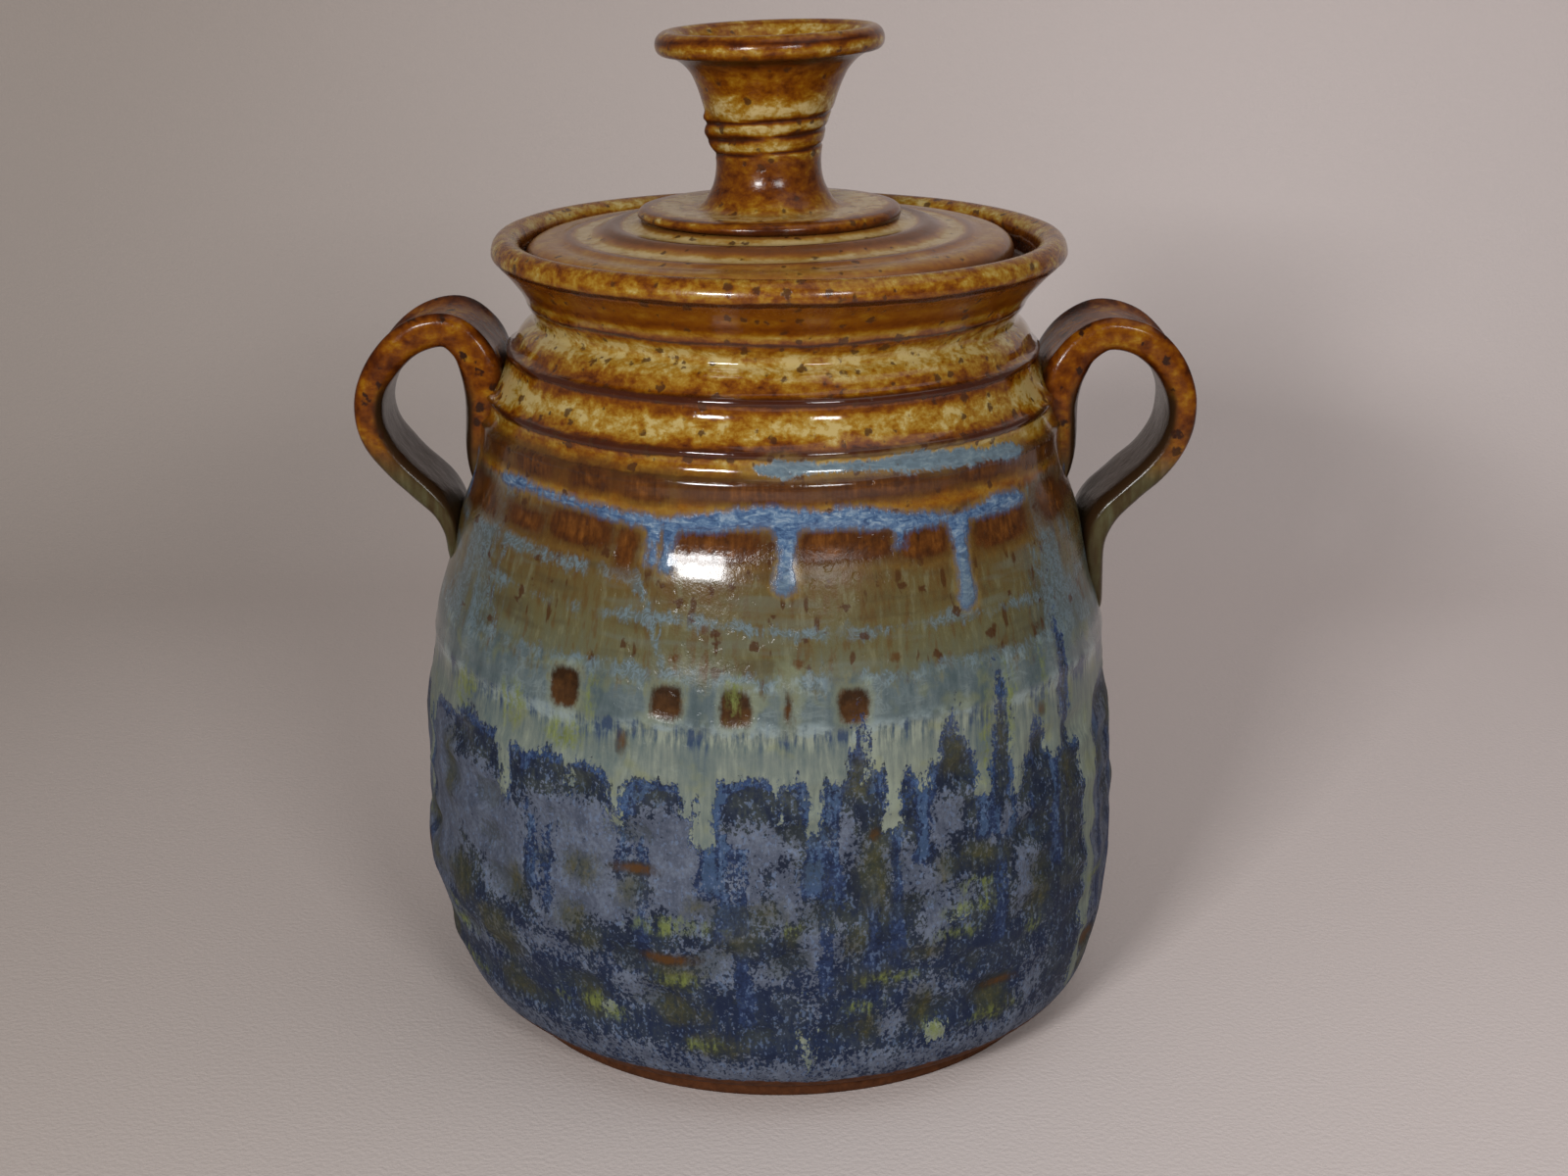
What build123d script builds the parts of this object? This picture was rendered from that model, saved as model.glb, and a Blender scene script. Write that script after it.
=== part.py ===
"""A lidded stoneware butter crock, thrown on the wheel and put together from five pieces.

crock_body    the vessel: trimmed foot, full belly, shoulder with throwing ridges, narrow
              neck, and a lip with a ledge (the gallery) inside it that carries the lid
left_handle   flat straps pulled from clay, luted to the shoulder at their thick end and
right_handle  smeared down the wall at their thin end
lid_plate     a low domed plate that drops into the gallery with play all round
lid_knob      a hollow trumpet thrown on its own disc, luted to the middle of the lid

Millimetres, +Z up.  The origin is on the table under the middle of the foot, the handles
point along +X and -X, and the front faces -Y.
"""
from build123d import *
from math import cos, radians, sin
import os

# ---------------------------------------------------------------- driving sizes
# Vessel, outside: each ring of the wall has a radius and a rise above the ring below it.
foot_radius, foot_height = 76.5, 4.5      # bare band that the glaze stops above
heel_radius, heel_rise = 87.6, 9.0
bulge_radius, bulge_rise = 91.0, 15.5
belly_radius, belly_rise = 93.9, 21.0
flank_radius, flank_rise = 90.6, 46.0
waist_radius, waist_rise = 88.4, 18.0
hip_radius, hip_rise = 84.0, 14.0
shoulder_radius, shoulder_rise = 79.6, 13.0
low_ridge_radius, low_ridge_rise = 75.6, 21.3
mid_ridge_radius, mid_ridge_rise = 74.0, 6.3
high_ridge_radius, high_ridge_rise = 68.2, 11.2
ridge_hollow = 0.4                        # depth of the finger groove between two ridges
collar_bulge = 0.4                        # swelling of the ring under the neck

# Neck, lip and gallery
neck_rise = 6.8                           # from the high ridge up to the narrowest ring
neck_overhang = 12.2                      # how far the lip stands out past the neck
flare_hollow = 0.4                        # hollow of the flare between the neck and the lip
lip_radius, lip_rise = 74.2, 22.4         # the lip's top stands this far above the neck
lip_width = 7.4                           # from the outside of the lip to the gallery's wall
lip_crest_inset = 3.0                     # from the outside of the lip in to its highest ring
lip_bead = 6.8                            # height of the rounded bead
lip_groove = 0.9                          # depth of the scored line under the bead
lip_roll = 4.8                            # from the widest ring of the bead up to its top
lip_inner_round = 2.4
gallery_depth = 9.3                       # from the top of the lip down to the ledge
throat_rise = 7.0                         # the throat is narrowest this far above the neck

# Walls
side_wall = 6.5
neck_wall = 6.2
floor_thickness = 9.0
floor_corner = 16.0                       # width of the round between the floor and the wall
foot_recess = 2.0                         # depth of the hollow trimmed under the base
foot_ring_width = 11.0                    # ring left standing round that hollow

# Lid
lid_play = 3.6                            # radial play of the lid in its gallery
lid_edge_thickness = 7.8
lid_edge_round = 3.0
lid_rise = 5.2                            # from the lid's edge up to the seat of the knob
lid_wall = 7.4                            # thickness in the middle
lid_seat_width = 8.5                      # flat ring that rests on the ledge
lid_ring_count = 3                        # throwing rings on top, evenly spaced
lid_ring_hollow = 0.5

# Knob: each ring has a radius and a rise above the ring below it
knob_disc_radius, knob_disc_thickness = 33.4, 2.6
knob_disc_round = 1.0
knob_foot_radius, knob_foot_rise = 18.5, 0.4
knob_stem_radius, knob_stem_rise = 13.5, 10.0
knob_throat_radius, knob_throat_rise = 17.2, 17.4
knob_flare_radius, knob_flare_rise = 20.6, 7.0
knob_rim_radius, knob_rim_rise = 29.0, 4.5    # the rise ends under the rolled rim
knob_bead = 5.4                           # thickness of the rolled rim
knob_bead_overhang = 1.2                  # how far the bead stands out past the flare
knob_wall = 5.6
knob_floor = 16.0                         # clay left under the hollow

# Handles: a flat strap whose width and thickness change along its centre line
root_width, root_thickness = 33.0, 18.5
crown_width, crown_thickness = 28.5, 9.8
elbow_width, elbow_thickness = 28.5, 8.6
side_width, side_thickness = 28.0, 7.0
low_width, low_thickness = 28.0, 6.2
tail_width, tail_thickness = 31.0, 4.4
strap_edge_share = 0.42                   # rounded edge as a share of the strap's thickness
root_drop = 5.0                           # from the high ridge down to the middle of the root
root_depth = 5.0                          # how far the root reaches under the wall's skin
crown_rise = 14.8                         # from the root up to the top of the strap
crown_offset = 12.6                       # from the wall at the root out to the crown
elbow_angle = 43.0                        # from the crown round towards the side, degrees
side_drop = 11.3                          # from the root down to the outermost point
low_drop = 23.0                           # on down to the bend above the wall
turn_drop = 9.5                           # and to where the strap turns down the wall
left_tail_drop, right_tail_drop = 10.0, 22.0
left_bow, right_bow = 32.6, 33.8          # how far the outermost point stands off the wall
left_low_offset, right_low_offset = 9.5, 12.0

# ---------------------------------------------------------------- sizes that follow
quarter_turn = 90.0                       # degrees


def stacked(rings, base=0.0):
    """Rings of (radius, rise) turned into (radius, height), each standing on the one below."""
    placed = []
    height = base
    for radius, rise in rings:
        height += rise
        placed.append((radius, height))
    return placed


WALL = stacked([
    (foot_radius, foot_height),
    (heel_radius, heel_rise),
    (bulge_radius, bulge_rise),
    (belly_radius, belly_rise),
    (flank_radius, flank_rise),
    (waist_radius, waist_rise),
    (hip_radius, hip_rise),
    (shoulder_radius, shoulder_rise),
    (low_ridge_radius, low_ridge_rise),
    (mid_ridge_radius, mid_ridge_rise),
    (high_ridge_radius, high_ridge_rise),
    (lip_radius - neck_overhang, neck_rise),
])
FOOT, HEEL = WALL[:2]
LOW_RIDGE, MID_RIDGE, HIGH_RIDGE, NECK = WALL[-4:]
neck_radius, neck_height = NECK
lip_height = neck_height + lip_rise
throat_radius = neck_radius - neck_wall
gallery_radius = lip_radius - lip_width
score_height = lip_height - lip_bead
ledge_height = lip_height - gallery_depth
floor_height = foot_recess + floor_thickness
lid_radius = gallery_radius - lid_play
lid_top_height = ledge_height + lid_edge_thickness
seat_height = lid_top_height + lid_rise

KNOB = stacked([
    (knob_disc_radius - knob_disc_round, knob_disc_thickness),
    (knob_foot_radius, knob_foot_rise),
    (knob_stem_radius, knob_stem_rise),
    (knob_throat_radius, knob_throat_rise),
    (knob_flare_radius, knob_flare_rise),
    (knob_rim_radius - knob_bead_overhang, knob_rim_rise),
], base=seat_height)


def wall_radius(height):
    """Radius of the outer wall at a height, taken straight between its rings."""
    for (low_r, low_z), (high_r, high_z) in zip(WALL, WALL[1:]):
        if height <= high_z:
            return low_r + (high_r - low_r) * (height - low_z) / (high_z - low_z)
    return neck_radius


def turned(outline):
    """The solid that a closed outline of radius and height makes on the wheel."""
    return revolve(Plane.XZ * make_face(outline), Axis.Z)


# ---------------------------------------------------------------- vessel
def outer_wall():
    """The outside of the vessel, from the foot up to the scored line under the lip."""
    score = (lip_radius - lip_groove, score_height)
    return [
        Line((foot_radius, 0), FOOT),
        Spline(*WALL[:WALL.index(MID_RIDGE)]),
        SagittaArc(LOW_RIDGE, MID_RIDGE, ridge_hollow),
        SagittaArc(MID_RIDGE, HIGH_RIDGE, ridge_hollow),
        SagittaArc(HIGH_RIDGE, NECK, -collar_bulge),
        SagittaArc(NECK, score, flare_hollow),
    ]


def lip():
    """The bead of the lip: two quarter ellipses that meet in its highest ring."""
    crest_radius = lip_radius - lip_crest_inset
    widest = lip_height - lip_roll
    inner = lip_height - lip_inner_round
    return [
        Line((lip_radius - lip_groove, score_height), (lip_radius, widest)),
        EllipticalCenterArc(
            (crest_radius, widest), lip_crest_inset, lip_roll, arc_size=quarter_turn
        ),
        EllipticalCenterArc(
            (crest_radius, inner),
            lip_width - lip_crest_inset,
            lip_inner_round,
            quarter_turn,
            arc_size=quarter_turn,
        ),
    ]


def vessel_form():
    """The vessel as a lump of its outer shape, which the handles are cut to fit."""
    top = (gallery_radius, lip_height - lip_inner_round)
    closing = Polyline(top, (0, top[1]), (0, 0), (foot_radius, 0))
    return turned(outer_wall() + lip() + [closing])


def vessel_hollow():
    """All that is empty inside the vessel: the room, the throat and the gallery."""
    floor_edge = (heel_radius - side_wall - floor_corner, floor_height)
    sides = WALL[WALL.index(HEEL) + 1:WALL.index(HIGH_RIDGE)]
    inner_rings = [(radius - side_wall, height) for radius, height in sides]
    inner_rings.append((high_ridge_radius - neck_wall, HIGH_RIDGE[1]))
    throat = (throat_radius, neck_height + throat_rise)
    above = lip_height + lip_bead
    return turned([
        Spline(floor_edge, *inner_rings, throat, tangents=[(1, 0), (0, 1)]),
        Polyline(
            throat,
            (throat_radius, ledge_height),
            (gallery_radius, ledge_height),
            (gallery_radius, above),
            (0, above),
            (0, floor_height),
            floor_edge,
        ),
    ])


def crock_body():
    """The thrown vessel, with the shallow hollow trimmed under its base."""
    bottom = (Align.CENTER, Align.CENTER, Align.MIN)
    recess = Cylinder(foot_radius - foot_ring_width, foot_recess, align=bottom)
    return vessel_form() - vessel_hollow() - recess


# ---------------------------------------------------------------- handles
def strap_stations(bow, low_offset, tail_drop):
    """The strap's centre line from root to tail on the +X side: (x, z), width, thickness."""
    root_height = HIGH_RIDGE[1] - root_drop
    side_height = root_height - side_drop
    low_height = side_height - low_drop
    turn_height = low_height - turn_drop
    tail_height = turn_height - tail_drop
    root_x = wall_radius(root_height)
    side_x = wall_radius(side_height) + bow - side_thickness / 2
    crown_x = root_x + crown_offset
    crown_z = root_height + crown_rise - crown_thickness / 2
    elbow_x = crown_x + (side_x - crown_x) * sin(radians(elbow_angle))
    elbow_z = side_height + (crown_z - side_height) * cos(radians(elbow_angle))
    turn_x = wall_radius(turn_height) + low_thickness / 2
    return [
        ((root_x - root_depth, root_height), root_width, root_thickness),
        ((crown_x, crown_z), crown_width, crown_thickness),
        ((elbow_x, elbow_z), elbow_width, elbow_thickness),
        ((side_x, side_height), side_width, side_thickness),
        ((wall_radius(low_height) + low_offset, low_height), low_width, low_thickness),
        ((turn_x, turn_height), low_width, low_thickness),
        ((wall_radius(tail_height), tail_height), tail_width, tail_thickness),
    ]


def strap(bow, low_offset, tail_drop, form):
    """One pulled strap on the +X side, lofted along its centre line and cut at the wall."""
    stations = strap_stations(bow, low_offset, tail_drop)
    centre_line = Spline(*[(x, 0, z) for (x, z), width, thickness in stations])
    sections = []
    for (x, z), width, thickness in stations:
        along = centre_line.tangent_at(centre_line.param_at_point((x, 0, z)))
        plane = Plane((x, 0, z), x_dir=(0, 1, 0), z_dir=along)
        sections.append(plane * RectangleRounded(width, thickness, strap_edge_share * thickness))
    return loft(sections) - form


# ---------------------------------------------------------------- lid and knob
def lid_plate():
    """The lid: a flat seat ring below, throwing rings above, and a flat seat for the knob."""
    seat_inner = (lid_radius - lid_seat_width, ledge_height)
    flat_radius = lid_radius - lid_edge_round
    ring_step = (flat_radius - knob_disc_radius) / lid_ring_count
    ring_rise = lid_rise / lid_ring_count
    rings = [
        (flat_radius - step * ring_step, lid_top_height + step * ring_rise)
        for step in range(lid_ring_count + 1)
    ]
    under = (0, seat_height - lid_wall)
    edge_low = (lid_radius, ledge_height + lid_edge_round)
    edge_high = (lid_radius, lid_top_height - lid_edge_round)
    top = [SagittaArc(outer, inner, lid_ring_hollow) for outer, inner in zip(rings, rings[1:])]
    return turned(top + [
        Line(seat_inner, (flat_radius, ledge_height)),
        RadiusArc((flat_radius, ledge_height), edge_low, -lid_edge_round),
        Line(edge_low, edge_high),
        RadiusArc(edge_high, rings[0], -lid_edge_round),
        Polyline(rings[-1], (0, seat_height), under),
        TangentArc(under, seat_inner, tangent=(1, 0)),
    ])


def lid_knob():
    """The hollow trumpet on its disc: out along the stem, round the bead, down the hollow."""
    disc_top, foot, stem, throat, flare, under_bead = KNOB
    top_height = under_bead[1] + knob_bead
    rim_middle = top_height - knob_bead / 2
    in_bead = (knob_rim_radius - knob_bead, rim_middle)
    disc_side = (knob_disc_radius, disc_top[1] - knob_disc_round)
    pit_radius = knob_stem_radius - knob_wall
    pit_height = seat_height + knob_floor
    return turned([
        Polyline((0, seat_height), (knob_disc_radius, seat_height), disc_side),
        RadiusArc(disc_side, disc_top, -knob_disc_round),
        Line(disc_top, foot),
        Spline(foot, stem, throat, flare, under_bead, tangents=[(-1, 0.2), (1, 0.3)]),
        Spline(
            under_bead,
            (knob_rim_radius, rim_middle),
            (knob_rim_radius - knob_bead / 2, top_height),
            in_bead,
        ),
        Spline(
            in_bead,
            (knob_flare_radius - knob_wall, flare[1]),
            (pit_radius, pit_height + pit_radius),
            (0, pit_height),
            tangents=[(-1, -1), (-1, 0)],
        ),
        Line((0, pit_height), (0, seat_height)),
    ])


# ---------------------------------------------------------------- the five pieces
form = vessel_form()
pieces = {
    "crock_body": crock_body(),
    "left_handle": mirror(strap(left_bow, left_low_offset, left_tail_drop, form), Plane.YZ),
    "right_handle": strap(right_bow, right_low_offset, right_tail_drop, form),
    "lid_plate": lid_plate(),
    "lid_knob": lid_knob(),
}
os.makedirs("parts", exist_ok=True)
for name, solid in pieces.items():
    export_step(solid, f"parts/{name}.step")
    size = solid.bounding_box().size
    print(f"{name}: {len(solid.solids())} solid, {size.X:.1f} x {size.Y:.1f} x {size.Z:.1f} mm")
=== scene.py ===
# %% [markdown]
# # A glazed stoneware crock with a lid
#
# The crock was thrown on a wheel, dressed with two pulled straps, and dipped in glazes that ran
# in the kiln.  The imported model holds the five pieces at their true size.  This lesson gives each
# of them a finer surface of its own: a numpy grid for the shape, with numbers painted on its
# points that say where each glaze lies, and a shader that turns those numbers into glaze.
#
# Lengths are written in millimetres, as a potter measures them, and become metres only when a
# mesh is made.  An angle of 0 is the front of the crock and grows towards its right handle.

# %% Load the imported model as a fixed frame
from math import radians
import bpy
import numpy as np
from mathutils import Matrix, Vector


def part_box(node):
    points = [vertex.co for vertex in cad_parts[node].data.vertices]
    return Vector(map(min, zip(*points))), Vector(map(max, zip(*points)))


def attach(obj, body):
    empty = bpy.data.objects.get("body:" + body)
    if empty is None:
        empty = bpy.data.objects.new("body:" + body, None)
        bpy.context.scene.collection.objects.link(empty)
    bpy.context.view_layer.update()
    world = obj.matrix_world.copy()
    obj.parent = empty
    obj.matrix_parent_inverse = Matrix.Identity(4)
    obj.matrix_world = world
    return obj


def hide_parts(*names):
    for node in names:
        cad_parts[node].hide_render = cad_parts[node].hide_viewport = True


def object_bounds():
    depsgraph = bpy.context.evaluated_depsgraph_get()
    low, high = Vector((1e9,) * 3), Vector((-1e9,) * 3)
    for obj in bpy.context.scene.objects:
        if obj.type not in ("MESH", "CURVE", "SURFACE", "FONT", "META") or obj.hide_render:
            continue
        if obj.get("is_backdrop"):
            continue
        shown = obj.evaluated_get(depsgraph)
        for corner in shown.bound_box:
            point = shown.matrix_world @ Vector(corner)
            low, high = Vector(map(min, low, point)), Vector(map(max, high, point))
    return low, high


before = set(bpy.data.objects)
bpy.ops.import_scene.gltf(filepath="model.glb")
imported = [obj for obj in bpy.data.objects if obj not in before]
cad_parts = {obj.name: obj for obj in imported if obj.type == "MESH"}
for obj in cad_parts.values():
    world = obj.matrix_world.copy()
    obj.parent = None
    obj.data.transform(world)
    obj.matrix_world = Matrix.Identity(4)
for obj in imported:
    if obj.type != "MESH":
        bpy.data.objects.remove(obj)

cad_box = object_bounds()
MM = 0.001
print("pieces in the frame:", sorted(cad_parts))

# %% [markdown]
# ## The camera
#
# The crock is looked at from arm's length, a little above its lip, so that the far half of the
# lid's rings shows.  A lens of about 50 mm at that distance keeps the sides of the belly almost
# straight.  The camera could be aimed with a constraint, but a written angle stays put when
# another view moves the camera.

# %% Camera at arm's length, looking down at the lid
camera_data = bpy.data.cameras.new("camera")
camera_data.lens = 51.75
camera_data.sensor_width = 36.0
camera = bpy.data.objects.new("camera", camera_data)
camera.location = (0.0025, -0.582, 0.303)
camera.rotation_euler = (radians(90.0 - 18.2), 0.0, 0.0)
bpy.context.scene.collection.objects.link(camera)
bpy.context.scene.camera = camera
bpy.context.scene.view_settings.view_transform = "Standard"
print("camera looks from", tuple(camera.location))

# %% [markdown]
# ## Meshes from grids
#
# Everything here is round or strap-shaped, so one kind of mesh does for all of it: a stack of
# closed rings, each with the same number of points, and a point at each end that closes the
# stack like the pole of a globe.  The grid could be made with Blender's Spin, but a grid of
# numbers can be pushed, dented and painted before it becomes a mesh.

# %% A smooth line through a few rings
def smooth_through(rings, step=1.0):
    """Points about `step` apart on a smooth curve through given points.

    Each span is a cubic.  Its slope at a point is the way from the point before to the point
    after, and the parameter grows with the square root of the distance between points.
    """
    rings = np.asarray(rings, float)
    ends = np.vstack([2 * rings[0] - rings[1], rings, 2 * rings[-1] - rings[-2]])
    knots = np.concatenate([[0.0], np.cumsum(np.linalg.norm(np.diff(ends, axis=0), axis=1) ** 0.5)])
    slopes = (ends[2:] - ends[:-2]) / (knots[2:] - knots[:-2])[:, None]
    knots = knots[1:-1]
    fine = np.linspace(knots[0], knots[-1], 60 * len(rings))
    span = np.clip(np.searchsorted(knots, fine, side="right") - 1, 0, len(rings) - 2)
    wide = (knots[span + 1] - knots[span])[:, None]
    t = (fine - knots[span])[:, None] / wide
    points = (
        (2 * t**3 - 3 * t**2 + 1) * rings[span]
        + (t**3 - 2 * t**2 + t) * wide * slopes[span]
        + (3 * t**2 - 2 * t**3) * rings[span + 1]
        + (t**3 - t**2) * wide * slopes[span + 1]
    )
    along = np.concatenate([[0.0], np.cumsum(np.linalg.norm(np.diff(points, axis=0), axis=1))])
    even = np.linspace(0.0, along[-1], max(2, int(round(along[-1] / step)) + 1))
    return np.column_stack([np.interp(even, along, column) for column in points.T])


def profile(start, *spans):
    """An outline from a start point through smooth spans that meet in corners.

    A span is (step, point, point, ...) and begins where the one before it ended.
    """
    rows = [np.array([start], float)]
    for step, *points in spans:
        rows.append(smooth_through([rows[-1][-1], *points], step)[1:])
    return np.vstack(rows)


# %% An outline turned on the wheel
def turned(outline, around):
    """Angle, radius and height of each point of an outline turned round the axis."""
    angle = np.linspace(0, 2 * np.pi, around, endpoint=False)[None, :]
    return angle, outline[:, 0:1] + 0 * angle, outline[:, 1:2] + 0 * angle


def placed(angle, radius, height, shift):
    """Points of a turned piece whose axis is moved to the right by `shift`."""
    across, back = radius * np.sin(angle) + shift, -radius * np.cos(angle)
    return np.stack([across, back, height + 0 * angle], axis=-1)


# %% A smooth-shaded object from points and faces
def squares_between(left, right):
    """Squares between two grids of point numbers, `right` being one column further round."""
    return np.stack([left[:-1], right[:-1], right[1:], left[1:]], axis=-1).reshape(-1, 4)


def smooth_piece(name, points, *faces):
    """A smooth-shaded object from points in millimetres and arrays of squares or triangles."""
    corners = np.concatenate([part.ravel() for part in faces])
    sides = np.concatenate([np.full(len(part), part.shape[1]) for part in faces])
    mesh = bpy.data.meshes.new(name)
    mesh.vertices.add(len(points))
    mesh.vertices.foreach_set("co", (points * MM).ravel())
    mesh.loops.add(len(corners))
    mesh.loops.foreach_set("vertex_index", corners)
    mesh.polygons.add(len(sides))
    mesh.polygons.foreach_set("loop_start", np.cumsum(sides) - sides)
    mesh.update(calc_edges=True)
    mesh.validate()
    mesh.shade_smooth()
    piece = bpy.data.objects.new(name, mesh)
    bpy.context.scene.collection.objects.link(piece)
    print(f"{name}: {(sides - 2).sum()} triangles")
    return piece


# %% A closed mesh from a stack of rings
def ring_mesh(name, rings, poles, fields):
    """A closed mesh from an array of rings (row, column, xyz) in millimetres.

    Squares join each ring to the next and the last column to the first, and a fan of triangles
    joins each end ring to its pole.  `fields` are numbers for each point, one array per name;
    a pole takes the mean of the ring beside it.  The faces are turned outwards by the sign of
    the volume, which is the sum of the small tetrahedra from the origin to every square.
    """
    rows, columns = rings.shape[:2]
    points = np.vstack([rings.reshape(-1, 3), np.asarray(poles, float)])
    grid = np.arange(rows * columns).reshape(rows, columns)
    after = np.roll(grid, -1, axis=1)
    squares = squares_between(grid, after)
    first, last = rows * columns, rows * columns + 1
    fans = np.concatenate([
        np.column_stack([np.full(columns, first), after[0], grid[0]]),
        np.column_stack([np.full(columns, last), grid[-1], after[-1]]),
    ])
    corner = points[squares]
    halves = np.cross(corner[:, 1], corner[:, 2]) + np.cross(corner[:, 2], corner[:, 3])
    if (corner[:, 0] * halves).sum() < 0:
        squares, fans = squares[:, ::-1], fans[:, ::-1]
    piece = smooth_piece(name, points, squares, fans)
    for field, values in fields.items():
        values = np.broadcast_to(values, (rows, columns))
        ends = [values[0].mean(), values[-1].mean()]
        attribute = piece.data.attributes.new(field, "FLOAT", "POINT")
        attribute.data.foreach_set("value", np.concatenate([values.ravel(), ends]).astype("f"))
    return piece


# %% [markdown]
# ## Numbers that a potter would call "a little uneven"
#
# Hand work is smooth from close by and uneven from afar.  A random number at each point would
# be gravel, so the random numbers sit on a coarse net round the pot and are blended between
# its knots.  The net closes on itself, so there is no seam at the back.

# %% Smooth random values round the pot
def eased(x):
    """The S-shaped step from 0 to 1: three times the square minus twice the cube."""
    x = np.clip(x, 0.0, 1.0)
    return x * x * (3 - 2 * x)


def unevenness(angle, height, around, tall, seed):
    """Values from -1 to 1: a net with `around` knots per turn and a row every `tall` mm."""
    random = np.random.default_rng(seed)
    rows = int(320 / tall) + 2
    knots = random.uniform(-1, 1, (rows, around))
    column = (angle / (2 * np.pi) * around) % around
    row = np.clip(height / tall, 0, rows - 2)
    left = np.floor(column).astype(int) % around
    below = np.floor(row).astype(int)
    across = eased(column - np.floor(column))
    up = eased(row - below)
    right = (left + 1) % around
    low = knots[below, left] * (1 - across) + knots[below, right] * across
    high = knots[below + 1, left] * (1 - across) + knots[below + 1, right] * across
    return low * (1 - up) + high * up


def bump_at(x, centre, width):
    """A smooth hump of height 1: the bell curve of the distance from its centre."""
    return np.exp(-(((x - centre) / width) ** 2))


def read_off(places, x, period=None):
    """The value at x on straight lines between listed (place, value) pairs."""
    return np.interp(x, *np.array(places).T, period=period)


# %% [markdown]
# ## The vessel's outline
#
# A thrown wall is a stack of finger rings.  The belly is one smooth curve, but on the shoulder
# the maker's finger left hollows with sharp crests between them, so each hollow is its own
# smooth span and the crests are where two spans meet.  Above the last crest a round collar
# rolls into the neck, the wall flares out again, and a scored line sets off the bead of the
# lip.  Inside the lip a ledge, the gallery, carries the lid.

# %% Outline of the vessel, from the middle of its base to the middle of its floor
lip_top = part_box("crock_body")[1][2] / MM
lip_reach = 74.2
gallery_reach = 66.8
gallery_floor = lip_top - 9.3
throat_reach = 55.8
room_floor = 11.0
CREST_LOW, CREST_HIGH, NECK, SCORE = 168.6, 180.0, 187.0, 203.4

base = profile(
    (2.0, 2.0),
    (9.0, (65.0, 2.0)),
    (0.9, (65.8, 1.2), (66.4, 0.3), (67.6, 0.0)),
    (3.0, (75.0, 0.0)),
    (0.9, (76.0, 0.4), (76.4, 1.6), (76.7, 4.2)),
)
belly = (
    1.1, (79.2, 5.2), (83.7, 8.0), (87.4, 13.0), (89.4, 20.0), (91.0, 29.0), (92.8, 38.0),
    (93.9, 50.0), (93.3, 65.0), (92.2, 82.0), (90.1, 98.0), (88.2, 114.0), (84.1, 128.0),
    (79.8, 140.5), (77.9, 150.0), (76.6, 158.0), (76.3, 162.0),
)
low_hollow = (1.0, (74.9, 163.6), (74.2, 166.0), (74.6, CREST_LOW))
high_hollow = (1.0, (73.1, 170.0), (71.3, 173.0), (69.7, 176.6), (69.4, CREST_HIGH))
collar = (1.0, (67.7, 181.2), (66.6, 183.6), (64.9, 185.6), (62.6, NECK))
flare = (
    0.9, (62.7, 188.8), (64.3, 191.4), (65.6, 194.2), (67.6, 197.0), (70.3, 200.2),
    (72.9, SCORE - 0.6), (73.1, SCORE),
)
bead = (
    0.8, (74.0, SCORE + 0.5), (lip_reach, 205.0), (73.7, 207.0), (72.4, 208.5), (71.0, lip_top),
    (69.4, 208.7), (67.6, 207.7), (gallery_reach, 206.2),
)
outer_wall = profile(base[-1], belly, low_hollow, high_hollow, collar, flare, bead)
inside = profile(
    outer_wall[-1],
    (1.2, (gallery_reach, 200.6), (66.2, gallery_floor)),
    (1.5, (56.8, gallery_floor)),
    (
        6.5, (throat_reach, 198.6), (throat_reach, 193.6), (62.0, 179.8), (67.8, 168.6),
        (69.4, 162.0), (73.2, 141.0), (81.8, 114.0), (87.4, 50.0), (84.5, 29.0), (76.0, 15.0),
        (65.1, room_floor), (40.0, room_floor), (2.0, room_floor),
    ),
)
outline = np.vstack([base, outer_wall[1:], inside[1:]])
first_outside = len(base) - 1
last_outside = first_outside + len(outer_wall) - 1
print(f"outline: {len(outline)} rings, {last_outside - first_outside} of them outside")

# %% [markdown]
# ## Where the glazes lie
#
# Three glazes overlap on this crock.  An amber one covers it all and turns cream where it is
# thick and dark brown where it is thin, over a crest.  A pale celadon one was poured over the
# lower two thirds; it ran down in long drips.  Under the drips both melted into a mottled blue.
#
# Each edge is written as a signed distance in millimetres: above zero inside the glaze, below
# zero outside.  A distance can be roughened later in the shader, where fine noise shifts it, so
# the mesh needs no more points than the shape does.

# %% Signed distances on the wall
FAR_OUTSIDE = -60.0


def beside(angle, place):
    """Degrees from a place round the pot, the short way."""
    return (np.degrees(angle) - place + 180.0) % 360.0 - 180.0


def blob(wall, places, sharpness=2.0):
    """Distance inside the nearest of several rounded spots.

    A spot is (degrees, height, half width, half height).  Its rim is where the sum of the two
    offsets, each as a share of its half size and raised to `sharpness`, is one: 2 is an ellipse
    and 4 a rounded rectangle.
    """
    angle, height, radius = wall
    inside = np.full(radius.shape, FAR_OUTSIDE)
    for place, middle, wide, tall in places:
        across = np.radians(beside(angle, place)) * radius / wide
        up = (height - middle) / tall
        reach = (np.abs(across) ** sharpness + np.abs(up) ** sharpness) ** (1 / sharpness)
        inside = np.maximum(inside, (1 - reach) * min(wide, tall))
    return inside


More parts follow.
